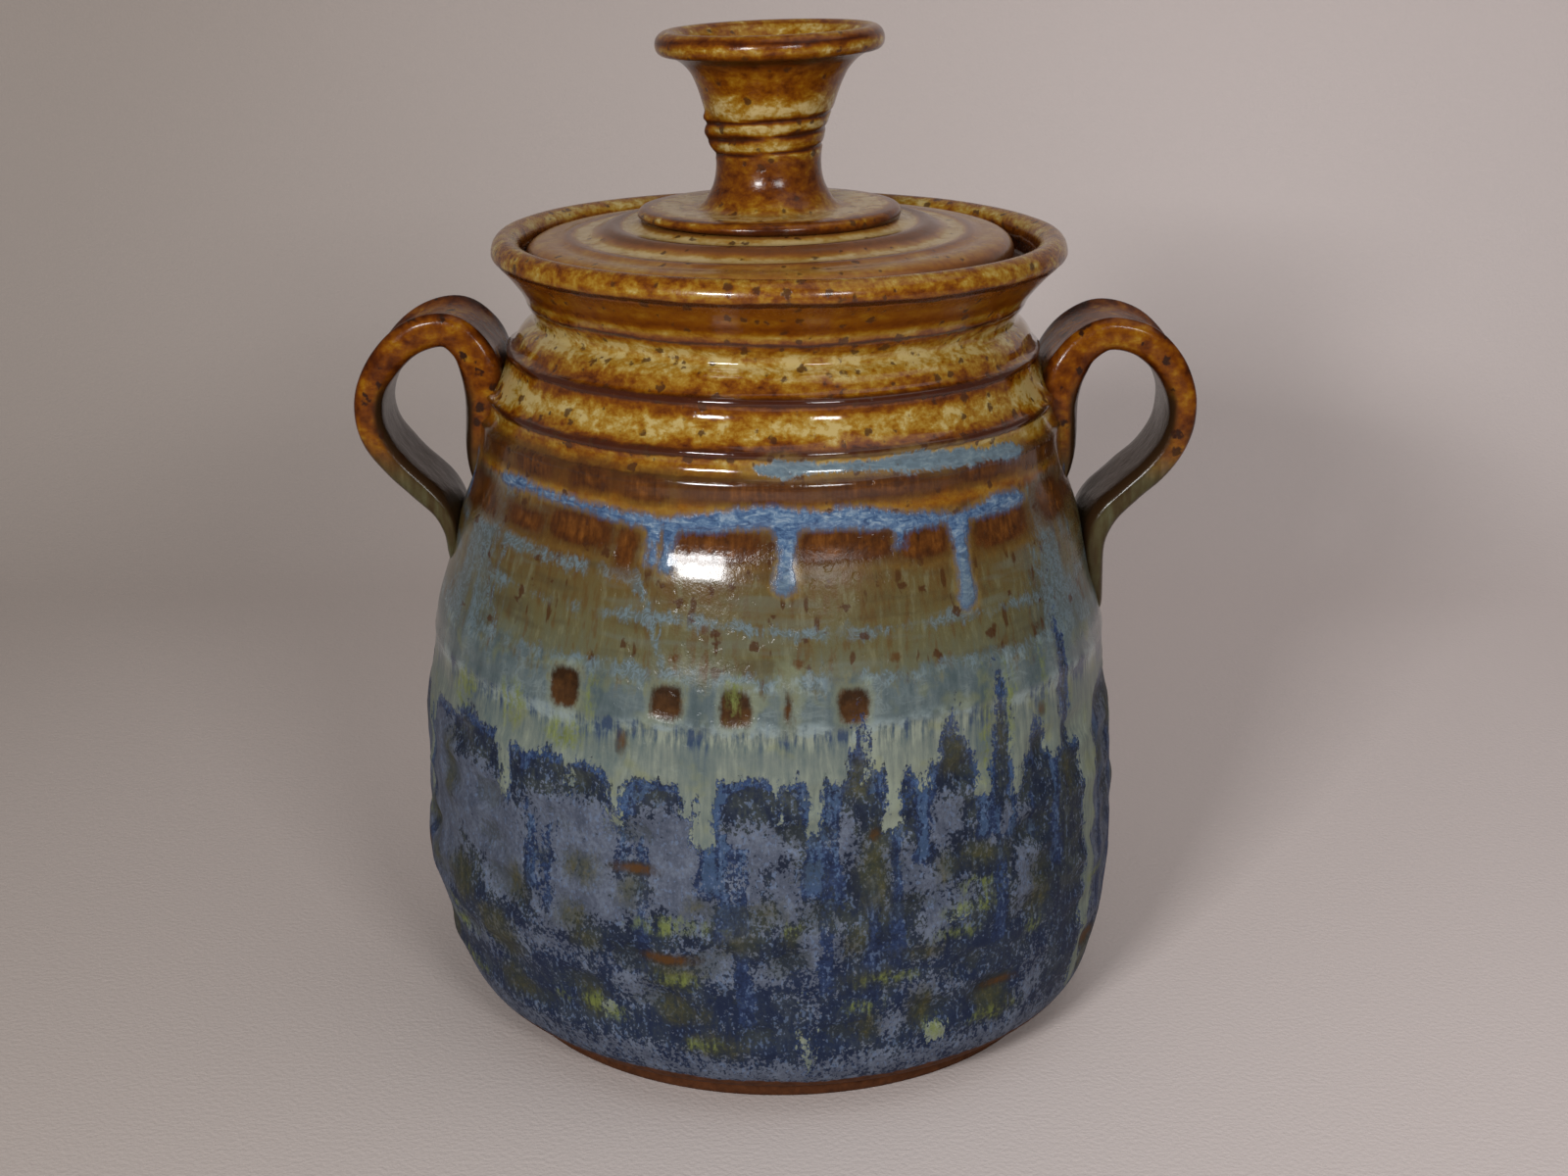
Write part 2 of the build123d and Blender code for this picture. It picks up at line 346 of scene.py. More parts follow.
def drips(wall, edge, runs):
    """Distance inside a poured glaze: above its edge, or inside one of its drips.

    A drip is (degrees, height of its tip, half width).  It is an upright line with a round tip;
    its half width shrinks to two thirds half way down and swells again into the bead at the tip.
    """
    angle, height, radius = wall
    inside = height - edge
    for place, tip, wide in runs:
        across = np.radians(beside(angle, place)) * radius
        below = np.maximum(tip + wide - height, 0.0)
        share = np.clip((edge - height) / np.maximum(edge - tip, 1.0), 0.0, 1.0)
        reach = wide * (1.35 - 0.7 * np.sin(np.pi * np.clip(share * 0.95, 0, 1)))
        inside = np.maximum(inside, np.minimum(reach - np.hypot(across, below), edge + 4 - height))
    return inside


def scattered(seed, count, gap_at_front, low, high, wide, tall):
    """Random spots on the part of the wall that the listed ones leave free."""
    random = np.random.default_rng(seed)
    places = random.uniform(gap_at_front, 360 - gap_at_front, count)
    return list(zip(
        places, random.uniform(low, high, count),
        random.uniform(*wide, count), random.uniform(*tall, count),
    ))


# %% The vessel's points, before glaze and dents move them
angle, radius, height = turned(outline, 340)
wall = (angle, height, radius)
bearing = beside(angle, 0)
aside = np.abs(bearing)
row = np.arange(len(outline))[:, None]
outside = eased((row - first_outside) / 4) * eased((last_outside + 2 - row) / 4)
print(f"{radius.size} points on the vessel, in rings of {radius.shape[1]}")


def uneven_wall(around, tall, seed):
    """Unevenness at the vessel's points."""
    return unevenness(wall[0], wall[1], around, tall, seed)


def show_cover(**fields):
    """Prints the share of the vessel's points that lie inside each field."""
    for name, field in fields.items():
        print(f"{name} covers {(field > 0).mean():.1%} of the vessel's points")


# %% [markdown]
# ### Dents
#
# Below the waist the wall was pressed with a fingertip in rows, like courses of brick, and the
# glaze pooled in the dents.  Each point finds the dent it lies in by rounding, so thousands of
# points need no search: the row comes from the height, and the place in the row from the angle.

# %% Rows of fingertip dents
def fingertip_dents(angle, height, seed, course=10.5, per_turn=27):
    """Hollowness from 0 to 1, and a random number for each dent, on a brick pattern.

    A dent is the product of two parabolas, one across and one up, which are 1 in its middle
    and 0 at its rim.  Low-frequency unevenness bends the courses so that no row is a ruler line.
    """
    random = np.random.default_rng(seed)
    bent = height + 3.2 * unevenness(angle, height, 9, 34.0, seed + 1)
    level = bent / course
    which = np.floor(level).astype(int)
    shift = random.uniform(0, 1, 40)[np.clip(which, 0, 39)]
    turn = (angle / (2 * np.pi) * per_turn + shift) % per_turn
    turn = turn + 0.22 * unevenness(angle, height, 31, 9.0, seed + 2)
    cell = np.floor(turn).astype(int) % per_turn
    luck = random.uniform(0, 1, (40, per_turn))[np.clip(which, 0, 39), cell]
    across = np.clip(1 - (2.5 * (turn - np.floor(turn) - 0.5)) ** 2, 0, 1)
    up = np.clip(1 - (2.3 * (level - which - 0.5)) ** 2, 0, 1)
    return across * up, luck


hollow, luck = fingertip_dents(angle, height, 11)
dented = eased((height - 14) / 8) * eased((104 - height) / 14) * outside
hollow = hollow * dented
print("dents reach", round(float(hollow.max()), 2), "of their full depth")

# %% Edges of the poured glazes
def round_only(around, seed):
    """Unevenness that changes round the vessel and not with height."""
    return unevenness(wall[0], 0 * wall[1] + 10, around, 50.0, seed)


def ribbon(level, half_width):
    """Distance inside a band that follows a level round the pot."""
    return half_width - np.abs(height - level)


front = eased((82 - aside) / 16)
pour_edge = 93.0 + 2.2 * round_only(24, 21) + 1.6 * round_only(60, 22)
pour_edge = pour_edge - 6.0 * (1 - front) * round_only(11, 23)
pour_edge = pour_edge - 7.0 * bump_at(beside(angle, 58), 0, 9)
FRONT_RUNS = [
    (-72, 84, 2.4), (-45, 80, 2.6), (-31.6, 87, 1.5), (-23, 79, 2.2), (-12, 84, 2), (-9.5, 76, 2.8),
    (2.2, 83, 1.2), (7.2, 79, 2.2), (19.6, 79, 2.6), (24.2, 88, 2.2), (35.6, 84, 2.6), (42.4, 81, 2.4),
    (52, 86, 1.6), (64.5, 80, 4.3), (63.4, 58, 3.9), (62.4, 36, 3.4), (61.6, 15, 2.8),
]
random = np.random.default_rng(31)
BACK_RUNS = list(zip(
    np.linspace(76, 284, 22) + random.uniform(-4, 4, 22),
    random.uniform(62, 86, 22),
    random.uniform(1.4, 3.2, 22),
))
celadon = drips(wall, pour_edge, FRONT_RUNS + BACK_RUNS)
ARCHES = [
    (-56, 82, 10, 15), (-36, 85, 5.6, 9.5), (-27.5, 84, 4.6, 8.5), (-16.5, 82, 6, 7.5),
    (-2.5, 84, 7.6, 8), (4.6, 80, 1.6, 10), (14.4, 79, 6, 11), (14.2, 90, 2.5, 15), (21.6, 76, 1.8, 5),
    (30, 87, 5.2, 17), (39.4, 92, 2.9, 20), (47.8, 84, 4, 14), (56, 100, 2.2, 22),
]
arches = blob(wall, ARCHES + scattered(32, 26, 76, 82, 90, (3, 8), (6, 15)), 1.7)
celadon = np.minimum(celadon, -arches)
PALE_SPOTS = [(5.4, 21, 1.3, 7), (26.8, 21, 2.6, 3.6), (-26.5, 28, 1.8, 2.8), (30.8, 53.6, 2.4, 1.2)]
celadon = np.maximum(celadon, blob(wall, PALE_SPOTS))
celadon = np.where(outside > 0, celadon, FAR_OUTSIDE)
show_cover(celadon=celadon)

# %% The sky-blue band and its runs
band_edge = 151.0 + 0.9 * round_only(30, 41) + 1.8 * eased((-20 - bearing) / 30)
band_edge = band_edge - 2.2 * eased((bearing - 12) / 30)
BAND_RUNS = [
    (-20.3, 142.6, 1.5), (-17.6, 141, 1.7), (3, 137.6, 2.4), (23.2, 145.8, 1.6), (35.4, 130, 2.4),
    (75, 140, 2), (110, 143, 2.2), (150, 136, 2.2), (200, 145, 2.2), (235, 138, 2), (280, 142, 2.2),
]
sky_below = drips(wall, band_edge, BAND_RUNS)
band_width = 3.9 - 1.3 * eased((aside - 14) / 14)
sky_above = band_edge + band_width + 1.7 * round_only(40, 42) - height
sky_line = ribbon(165.2 - 2.4 * eased((bearing - 24) / 30), 2.0) + 0.9 * round_only(40, 43)
sky_line = sky_line - 4.0 * eased((4 - bearing) / 16) - 4.0 * eased((bearing - 54) / 12)
sky = np.maximum(np.minimum(sky_below, sky_above), sky_line)
beyond_left = eased((-58 - bearing) / 8) * eased((bearing + 80) / 8)
beyond_right = eased((bearing - 51) / 8) * eased((80 - bearing) / 8)
sky = np.where(outside > 0, sky - 5.0 * (beyond_left + beyond_right), FAR_OUTSIDE)
show_cover(sky=sky)

# %% Brown windows and patches, where the pale glazes crawled back
WINDOWS = [
    (-33.3, 111, 4.2, 4.6), (-15.7, 110.9, 3.9, 3.9), (-4.8, 110.5, 3.7, 4.2), (13.4, 110.5, 3.7, 4.1),
    (3.2, 110.8, 1, 3.2),
]
PATCHES = [
    (-50, 146.6, 7.6, 2.6), (-35.5, 147.6, 10, 3.7), (-25.4, 145.4, 2.6, 4.6), (-8.6, 147.2, 11.2, 3.6),
    (10.6, 147.2, 8, 3.6), (27.8, 146.2, 7.4, 3.6), (17.8, 146.8, 5.6, 3.4), (46.4, 145.6, 10.4, 4),
]
SHOULDER = [
    (-49, 160.2, 8, 2.6), (-34, 160.4, 7, 2.8), (-22.5, 159.6, 6, 3), (-4, 160, 14, 2.5),
    (20, 160.2, 14, 2.5), (44, 160.4, 13, 2.5),
]
windows = blob(wall, WINDOWS + scattered(51, 9, 80, 108, 113, (2.5, 4), (3, 4)), 4.4)
patches = PATCHES + scattered(52, 18, 62, 145, 149, (6, 11), (2.6, 4.2))
shoulder = SHOULDER + scattered(53, 18, 62, 159, 161, (6, 14), (2.2, 2.8))
brown = np.maximum(windows, blob(wall, patches + shoulder, 4.0))
show_cover(windows=windows, brown=brown)

# %% Wisps of pale blue on the olive zone
HIGH_WISP = [(-60, 132), (-36, 129.6), (-15, 130.2), (10, 127.2), (34, 128), (55, 126)]
LOW_WISP = [(-60, 117.4), (-40, 117.8), (-15, 117), (0, 116), (30, 116.6), (60, 115.4)]
LEFT_WISP = [(-70, 141), (-50, 140.4), (-22, 139)]
high_wisp, low_wisp, left_wisp = [
    read_off(places, bearing, 360) for places in (HIGH_WISP, LOW_WISP, LEFT_WISP)
]
left_wisp = left_wisp - 30 * eased(beside(angle, -24) / 12)
veil = np.maximum(ribbon(high_wisp, 1.2), ribbon(low_wisp, 1.9))
veil = np.maximum(veil, ribbon(left_wisp, 2.0))
veil = np.maximum(veil, 2.4 - 0.9 * np.abs(aside - 62) / 3 - 0.02 * np.abs(height - 128))
veil = veil + 0.9 * round_only(33, 54)
cool = eased((aside - 36) / 28) - 0.5 * eased((aside - 80) / 20)
cool = 0.8 * cool * eased((142 - height) / 22)
show_cover(veil=veil, cool=cool)

# %% Colours that surfaced in the blue
OLIVES = [
    (-57.8, 50, 8, 6), (-41.8, 58, 4, 5), (-47.6, 41, 8, 7), (-31, 53.5, 5.2, 3.2), (-28.6, 67, 5, 4),
    (-28, 48, 4, 3), (-20.6, 64.5, 3.2, 5), (-10.8, 61, 1.7, 1.4), (-14.8, 42, 6.4, 4), (-14, 31, 6, 4),
    (-29, 29.5, 5, 4.5), (3.7, 54.5, 2.4, 2.8), (0.6, 60, 4, 2.6), (-9.7, 21.5, 6, 3),
    (13.2, 52, 3, 3.6), (15.5, 40.6, 6, 2.2), (16.2, 69.5, 3.8, 9.6), (29.8, 97, 4, 6.5),
    (13.8, 93.5, 4.2, 4.6), (39.6, 98, 1.8, 5.5), (49.3, 96, 1.5, 4.6), (46, 53, 3.8, 6.4),
    (55.3, 82, 2.2, 6), (35.2, 68, 6, 2.4), (24, 46, 5, 1.6), (38.6, 24.5, 5.6, 5), (24, 30, 3, 6),
    (28, 67.2, 3, 3), (15, 27, 2.6, 4.4), (-4, 52, 4.4, 3.2), (-47, 26, 6, 4),
]
RUSTS = [
    (-20.4, 69, 3.2, 0.9), (-15, 46.6, 4.4, 1), (39.4, 29.6, 3.4, 0.9), (16.3, 78.4, 1, 1),
    (49.2, 99.8, 0.8, 1), (-10.2, 128.2, 1, 1.2), (-10, 122.8, 0.7, 5.2), (-14.6, 121.5, 1.4, 1.3),
    (4.9, 121, 1.2, 1.1), (20.6, 120.9, 1.3, 1.2), (-22.6, 101, 0.9, 2), (12.4, 143.8, 0.9, 0.8),
]
LIMES = [
    (-14.2, 55.6, 7.4, 1.7), (-14, 40.4, 4, 1.6), (-29, 29.4, 3.4, 2.6), (-25.6, 27, 3, 1.8),
    (-36, 27.9, 1.6, 1.3), (3.7, 55.6, 1.5, 1.6), (14.5, 32.7, 4, 1.5), (-10.9, 21.4, 3, 1.2),
    (32.4, 61.6, 3.4, 1.1), (31, 55.8, 4.6, 1.4), (30, 49.4, 4.2, 1.2), (34.8, 55.6, 2.4, 1.8),
    (18.6, 40.2, 5.6, 1.2), (37.8, 21.4, 5, 1.4), (26.8, 23, 2.6, 3), (46, 43.4, 3, 2),
    (-44, 103, 5, 6), (-58, 101, 6, 5), (-33, 100, 5.6, 3.6), (-28.4, 109, 1.4, 4.6),
    (41.5, 104, 1.6, 7), (36, 100, 1.4, 8), (50, 106, 1.6, 7), (-5, 113, 1, 3.4),
]
FROSTS = [
    (-67, 62, 9, 26), (-52, 73, 9, 8), (-45, 63, 4, 7), (-30, 76, 8, 4.5), (-27, 60, 6, 2.4),
    (-34, 53, 3.4, 4.4), (-14.5, 76, 6, 5), (-11.6, 69, 4, 7), (-3.6, 68, 3.4, 7), (-0.6, 76, 6, 3),
    (3, 64, 3, 6), (8.8, 50.5, 4.4, 5), (6.6, 47, 2, 6), (-8, 45, 5, 2), (0, 42.6, 5, 2),
    (-20.5, 37, 4, 4), (-36, 43, 7, 1.4), (-56, 34, 8, 1.6), (21.7, 68, 3.6, 5), (28, 79, 4.4, 5),
    (25.6, 58, 2.8, 9), (11.7, 77, 2.4, 4), (39, 74, 5, 3), (43, 58, 2.4, 5), (24.8, 36, 4.4, 1.6),
    (18.4, 27, 3, 2.4), (46.5, 27, 3, 7), (30.6, 60, 2, 2), (66, 58, 7, 40),
]
olive = blob(wall, OLIVES + scattered(61, 40, 62, 18, 84, (2.5, 7), (2.4, 7)))
rust = blob(wall, RUSTS + scattered(62, 12, 62, 24, 76, (2, 4.5), (0.9, 1.3)), 3.0)
lime = blob(wall, LIMES + scattered(63, 40, 60, 18, 70, (2, 6), (1.0, 2.2)))
frost = blob(wall, FROSTS + scattered(64, 50, 64, 26, 80, (2.5, 9), (1.6, 9)))
frost = frost + 5.5 * eased((4 - bearing) / 20) * bump_at(height, 71, 19)
frost = np.maximum(frost, ribbon(14.0 + 1.6 * round_only(16, 65), 3.4))
show_cover(olive=olive, rust=rust, lime=lime, frost=frost)

# %% Deep blue runs below the drips
DEEP_RUNS = [
    (-44, 78, 1.8), (-38.5, 58, 2.4), (-35, 53, 1.7), (-22, 66, 2.2), (-19.4, 62, 1.5), (-8.6, 64, 3.6),
    (-6.2, 52, 2.6), (6.8, 64, 3.2), (10.4, 60, 1.7), (8.8, 38, 1.9), (19.8, 44, 2.3), (24.2, 70, 2.8),
    (35.2, 72, 2.6), (41, 70, 2.5), (37.8, 44, 2.2), (15.8, 34, 2.2), (-3.7, 28, 2.2), (-18.8, 42, 1.8),
    (46, 68, 2.3), (51, 58, 2.3), (27, 86, 2.4), (31.5, 86, 2), (13.4, 98, 2.6),
]
runs_behind = list(zip(
    np.linspace(62, 298, 34) + random.uniform(-3, 3, 34),
    random.uniform(30, 80, 34),
    random.uniform(1.4, 3.2, 34),
))
deep = drips(wall, pour_edge - 2.0, DEEP_RUNS + runs_behind)
deep = np.where(height > pour_edge - 3.0, np.minimum(deep, 1.0), deep)
deep = np.where(arches > 0, np.minimum(deep, celadon + 1.5), deep)
show_cover(deep=deep)

# %% Tone of the amber glaze, from 0 where it broke dark to 1 where it pooled cream
VESSEL_TONES = [
    (150, 0.30), (155, 0.55), (156.4, 0.60), (158.2, 0.34), (161, 0.22), (163.2, 0.50), (165, 0.74),
    (166.8, 0.80), (167.6, 0.46), (169.2, 0.26), (170.6, 0.56), (172.4, 0.82), (174.8, 0.86),
    (176.2, 0.62), (177.6, 0.34), (180.2, 0.28), (181.8, 0.48), (183.2, 0.54), (184.8, 0.72),
    (186.8, 0.91), (189.4, 0.86), (191.2, 0.50), (192.4, 0.30), (193.6, 0.60), (194.6, 0.74),
    (195.6, 0.40), (196.6, 0.30), (198.6, 0.50), (201, 0.42), (202.8, 0.34), (204.2, 0.50),
    (206.6, 0.63), (207.8, 0.61), (209, 0.54),
]
CURDLES = [
    (150, 0.5), (164, 0.8), (170, 1.1), (190, 1.1), (194, 0.7), (198, 0.4), (203, 0.45), (205, 1.1),
    (209, 1.1),
]
shifted = height + 0.7 * uneven_wall(14, 12.0, 71)
tone = read_off(VESSEL_TONES, shifted)
beside_straps = bump_at(aside, 68, 7) * eased((height - 163) / 3)
tone = tone + 0.30 * beside_straps * eased((183 - height) / 4)
past_lip = row > np.argmax(outline[:, 1]) + 1
tone = np.where(past_lip, 0.27 + 0.45 * eased((height - 205.5) / 2.0), tone)
tone = np.where(row < first_outside + 3, 0.0, tone)
curdle = read_off(CURDLES, height) + 0.5 * beside_straps
tone = tone - 0.22 * bump_at(height, 165.4, 2.2) * eased((-6 - bearing) / 16)
print(f"tone runs from {tone.min():.2f} to {tone.max():.2f}")

# %% The vessel's shape: wheel marks, dents, thick glaze, and a slight lean
wheel = 0.14 * uneven_wall(5, 7.5, 85) * eased((height - 98) / 10) * eased((161 - height) / 6)
WAIST = smooth_through([
    (104, 0.0), (109, -0.07), (112, -0.22), (118, -0.60), (121, -0.65), (124, -0.58), (127, -0.42),
    (130, -0.19), (133, 0.13), (136, 0.44), (139, 0.58), (142, 0.33), (145, -0.07), (148, -0.27),
    (154, -0.30), (160, 0.0),
])
wheel = wheel + 0.35 * bump_at(height, 106.2, 1.6) + read_off(WAIST, height)
wheel = wheel - 0.6 * bump_at(beside(angle, -9), 0, 11.5) * bump_at(height, 142.0, 28.0)
ridges = 0.55 * bump_at(height, CREST_HIGH, 0.9) + 0.45 * bump_at(height, CREST_LOW, 0.9)
ridges = ridges * (0.7 + 0.5 * uneven_wall(34, 9.0, 81))
uneven = 0.22 * uneven_wall(26, 11.0, 83) * (1 - 0.7 * bump_at(height, 136, 20))
uneven = uneven + 0.45 * uneven_wall(7, 40.0, 82)
thick = 0.32 * eased((celadon + 0.8) / 2.2) + 0.30 * eased((sky + 0.6) / 1.6)
thick = thick - 0.35 * eased((windows + 0.6) / 1.4)
pressed = -1.5 * hollow * (0.10 + 1.1 * luck) + 0.40 * dented
rough = 0.45 * uneven_wall(48, 7.0, 84) * dented
swell = 0.9 * uneven_wall(11, 15.0, 86) * dented
radius = radius + outside * (wheel + ridges + uneven + pressed + rough + swell)
radius = radius + outside * thick * eased((164 - height) / 4)
LEAN = [
    (0, 1.2), (15, 0.4), (45, -1.6), (100, -1.6), (140, -1.2), (170, -0.7), (187, 0.2), (204, 1.2),
    (209, 1.2),
]
lean = read_off(LEAN, height)
poles = [(1.2, 0, 2), (0.4, 0, room_floor)]
vessel = ring_mesh("crock_vessel", placed(angle, radius, height, lean), poles, {
    "tone": tone, "curdle": curdle, "celadon": celadon, "sky": sky, "brown": brown, "veil": veil,
    "cool": cool, "olive": olive, "rust": rust, "lime": lime, "frost": frost, "deep": deep,
    "hollow": hollow * luck, "outside": outside,
})
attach(vessel, "crock")
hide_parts("crock_body")

# %% [markdown]
# ## The strap handles
#
# A strap is pulled from a lump of wet clay: thick at the root, thin at the tail, with a thumb
# groove down its outer face between two rounded rims.  It could be a curve with a bevel, but a
# bevel keeps one section along its length, and this section changes all the way.  So each ring
# of the grid is a section of its own, set square to the centre line.  The first rings climb the
# wall: they are the leg of smeared clay that holds the root, before the strap swings out.

# %% A strap from a centre line and a changing section
STRAP_LENGTH = 110


def strap_rings(stations, sections=170, around=80):
    """Rings and fields of a strap on the right-hand side.

    A station is (x, z, width, thickness, groove).  The section is a rounded rectangle, whose
    sine and cosine are raised to a power under one; its outer side sinks by the groove's depth
    times one minus the fourth power of the way across, which leaves two rims.
    """
    line = smooth_through(stations, 0.5)
    pick = np.linspace(0, len(line) - 1, sections)
    line = np.column_stack([np.interp(pick, np.arange(len(line)), column) for column in line.T])
    centre, width, thickness, groove = line[:, :2], line[:, 2:3], line[:, 3:4], line[:, 4:5]
    along = np.gradient(centre, axis=0)
    along /= np.linalg.norm(along, axis=1)[:, None]
    outward = np.column_stack([-along[:, 1], along[:, 0]])
    turn = np.linspace(0, 2 * np.pi, around, endpoint=False)[None, :]
    across = np.sign(np.cos(turn)) * np.abs(np.cos(turn)) ** 0.62
    out = np.sign(np.sin(turn)) * np.abs(np.sin(turn)) ** 0.6
    dish = np.clip(1 - (np.abs(across) / 0.86) ** 4, 0, 1)
    sunk = groove * dish
    lift = thickness / 2 * out - sunk * np.clip(out, 0, 1) + 0.25 * sunk * np.clip(-out, 0, 1)
    share = np.linspace(0, 1, sections)[:, None]
    wobble = 0.35 * unevenness(turn, share * STRAP_LENGTH, 5, 12.0, 91)
    wobble = wobble + 0.2 * unevenness(turn, share * STRAP_LENGTH, 11, 5.0, 92)
    lift = lift + wobble * out
    x = centre[:, 0:1] + outward[:, 0:1] * lift
    z = centre[:, 1:2] + outward[:, 1:2] * lift
    y = across * width / 2 + 0.25 * wobble * across
    rings = np.stack([x, y, z], axis=-1)
    poles = [(centre[0, 0], 0.0, centre[0, 1]), (centre[-1, 0], 0.0, centre[-1, 1])]
    rim = eased((np.abs(across * out) - 0.45) / 0.35) + 0 * share
    # The face towards the wall, which is darkened later as painted shade.
    shaded_inner_face = eased((-0.2 - out) / 0.4) + 0 * share
    return rings, poles, {"rim": rim, "shaded_inner_face": shaded_inner_face}


# %% The two straps
RIGHT_STATIONS = [
    (74.4, 139, 22, 1, 0), (75.8, 145, 27, 4.6, 0), (76, 152, 30, 7.6, 0), (75.2, 160, 32, 9.6, 0),
    (74.4, 168, 32, 12, 0.4), (75.6, 175, 31, 13, 1.6), (79.2, 181, 29.5, 12, 2.6),
    (85.8, 184.6, 28.5, 11.2, 3.2), (94.6, 182.8, 28.5, 10.8, 3.2), (101.4, 176.8, 28.3, 10.2, 3),
    (105.4, 169.2, 28, 9.4, 2.6), (106, 161.6, 28, 9, 2.4), (104, 154.6, 28, 8.6, 2.2),
    (99.4, 148, 28, 8.2, 1.8), (93.2, 142.2, 28, 8, 1.4), (87.6, 136.4, 28.5, 7.8, 1),
    (85, 129.6, 29, 6.8, 0.6), (85.2, 120, 28.5, 5.4, 0.3), (86.2, 112, 25.5, 3.6, 0),
    (86.3, 108.4, 20, 2.4, 0), (85.8, 106, 11, 0.8, 0),
]
LEFT_STATIONS = [
    (74.4, 138, 22, 1, 0), (75.6, 144, 27, 4.6, 0), (76, 151, 30, 7.4, 0), (75.2, 159, 32, 9.6, 0),
    (74.2, 168, 32, 12, 0.4), (75.2, 175.6, 31, 13, 1.6), (78.6, 181.8, 29.5, 12, 2.6),
    (84.6, 185.4, 28.5, 11.4, 3.2), (92.8, 183.4, 28.5, 11, 3.2), (100, 177.4, 28.3, 10.4, 3),
    (104.6, 169.6, 28, 9.6, 2.6), (105.6, 162, 28, 9, 2.4), (103.6, 155.2, 28, 8.6, 2.2),
    (99, 149, 28, 8.2, 1.8), (92.8, 143, 28, 7.8, 1.4), (87.2, 137.4, 28.5, 7.2, 1),
    (84.4, 131.4, 28.5, 6, 0.5), (84.2, 125.4, 26, 4.4, 0.2), (84.6, 121.8, 20, 2.6, 0),
    (84.6, 119.6, 11, 0.8, 0),
]
straps = {}
for side, stations, flip in (("right", RIGHT_STATIONS, 1), ("left", LEFT_STATIONS, -1)):
    rings, poles, fields = strap_rings(stations)
    rings[..., 0] *= flip
    poles = [(x * flip, y, z) for x, y, z in poles]
    lean_here = read_off(LEAN, rings[..., 2])
    rings[..., 0] += lean_here * eased((92 - np.abs(rings[..., 0])) / 14)
    straps[side] = ring_mesh(f"{side}_strap", rings, poles, fields)
    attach(straps[side], "crock")
    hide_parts(f"{side}_handle")

# %% [markdown]
# ## The lid
#
# The lid was thrown flat, with two fingertip rings on top, and sits loosely in the gallery: its
# seat stays level while its top leans a little, because it warped in the fire.  The lean is a
# shear, so the flat seat below isn't touched.

# %% The lid's outline
lid_edge = 63.0
lid_seat, knob_seat = [corner[2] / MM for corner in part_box("lid_plate")]
lid_outline = profile(
    (2.0, 205.3),
    (4.0, (28.0, 204.2), (54.5, lid_seat)),
    (2.5, (59.6, lid_seat)),
    (
        0.8, (61.8, 200.5), (62.9, 202.4), (lid_edge, 204.4), (62.2, 206.3), (60.4, 207.7),
        (57.8, 208.3), (54.4, 208.4), (50.8, 209.0),
    ),
    (0.8, (47.8, 209.5), (44.6, 210.0), (42.2, 210.9)),
    (0.8, (39.4, 211.3), (36.4, 211.7), (33.0, 212.5)),
    (5.0, (2.0, knob_seat)),
)
print("lid outline:", len(lid_outline), "rings")

# %% The lid's rings and tones
LID_SHIFT = -1.3
LID_TILT = 0.016
angle, radius, height = turned(lid_outline, 300)
above = eased((height - lid_seat) / 6)
warp = LID_TILT * radius * np.sin(angle)
height = height + above * (warp + 0.12 * unevenness(angle, radius, 9, 14.0, 101))
finger_rings = 0.5 * bump_at(radius, 41.0, 1.8) + 0.4 * bump_at(radius, 52.0, 1.6)
finger_rings = finger_rings - 0.4 * bump_at(radius, 36.4, 1.8) - 0.5 * bump_at(radius, 47.2, 2.4)
height = height + finger_rings * above
radius = radius + eased((radius - 36) / 20) * 0.25 * unevenness(angle, radius * 0, 6, 50.0, 102)
LID_TONES = [
    (0, 0.35), (33.4, 0.50), (34.2, 0.84), (36.5, 0.98), (38.4, 0.86), (39.2, 0.30), (39.6, 0.04),
    (40.4, 0.20), (43.2, 0.16), (44.6, 0.50), (46.6, 0.92), (49.4, 0.90), (50.6, 0.50), (51.3, 0.16),
    (52.8, 0.50), (56, 0.66), (60, 0.60), (62, 0.44), (63.2, 0.12),
]
lid_tone = read_off(LID_TONES, radius + 0.8 * unevenness(angle, radius, 12, 9.0, 103))
lid_tone = np.where(height < 203.0, 0.05, lid_tone)
poles = [(LID_SHIFT, 0, 205.4), (LID_SHIFT, 0, knob_seat)]
# Above the seat the lid is marked for a painted reflection: a tan haze over its top.
lid = ring_mesh("lid_disc", placed(angle, radius, height, LID_SHIFT), poles, {
    "tone": lid_tone, "curdle": 0 * lid_tone + 0.55, "painted_haze": above,
    "bare": eased((203.0 - height) / 2.0) * eased(63.0 - radius),
})
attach(lid, "lid")
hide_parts("lid_plate")

# %% [markdown]
# ## The knob
#
# The knob is a small trumpet thrown on its own disc.  A tool left a spiral line round the narrow
# part, and a smear of clay stayed on one side.  The spiral is a groove whose height grows by one
# pitch per turn, so its distance comes from the height, less that rise, rounded to the nearest
# turn.

# %% The knob's outline
knob_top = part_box("lid_knob")[1][2] / MM
knob_outline = profile(
    (2.0, knob_seat),
    (6.0, (32.9, knob_seat)),
    (
        0.7, (33.8, knob_seat + 0.5), (33.7, knob_seat + 1.9), (32.6, knob_seat + 2.8),
        (28.0, knob_seat + 3.1), (22.4, knob_seat + 2.9), (18.6, 215.6), (16.6, 217.0),
        (15.4, 219.0), (14.3, 221.2), (13.6, 224.4), (13.5, 228.0), (14.1, 232.0), (14.8, 235.0),
        (15.6, 237.9), (16.7, 240.9), (17.6, 243.8), (18.7, 246.7), (20.2, 249.6), (22.6, 252.2),
        (25.6, 253.9),
    ),
    (
        0.75, (27.6, 254.1), (28.8, 255.3), (29.0, 257.2), (28.2, 259.0), (26.4, knob_top),
        (24.4, 259.3), (22.6, 257.6), (20.6, 254.6), (17.0, 247.6), (13.0, 239.6), (9.4, 232.6),
        (5.6, 229.4), (1.6, 228.7),
    ),
)
print("knob outline:", len(knob_outline), "rings")

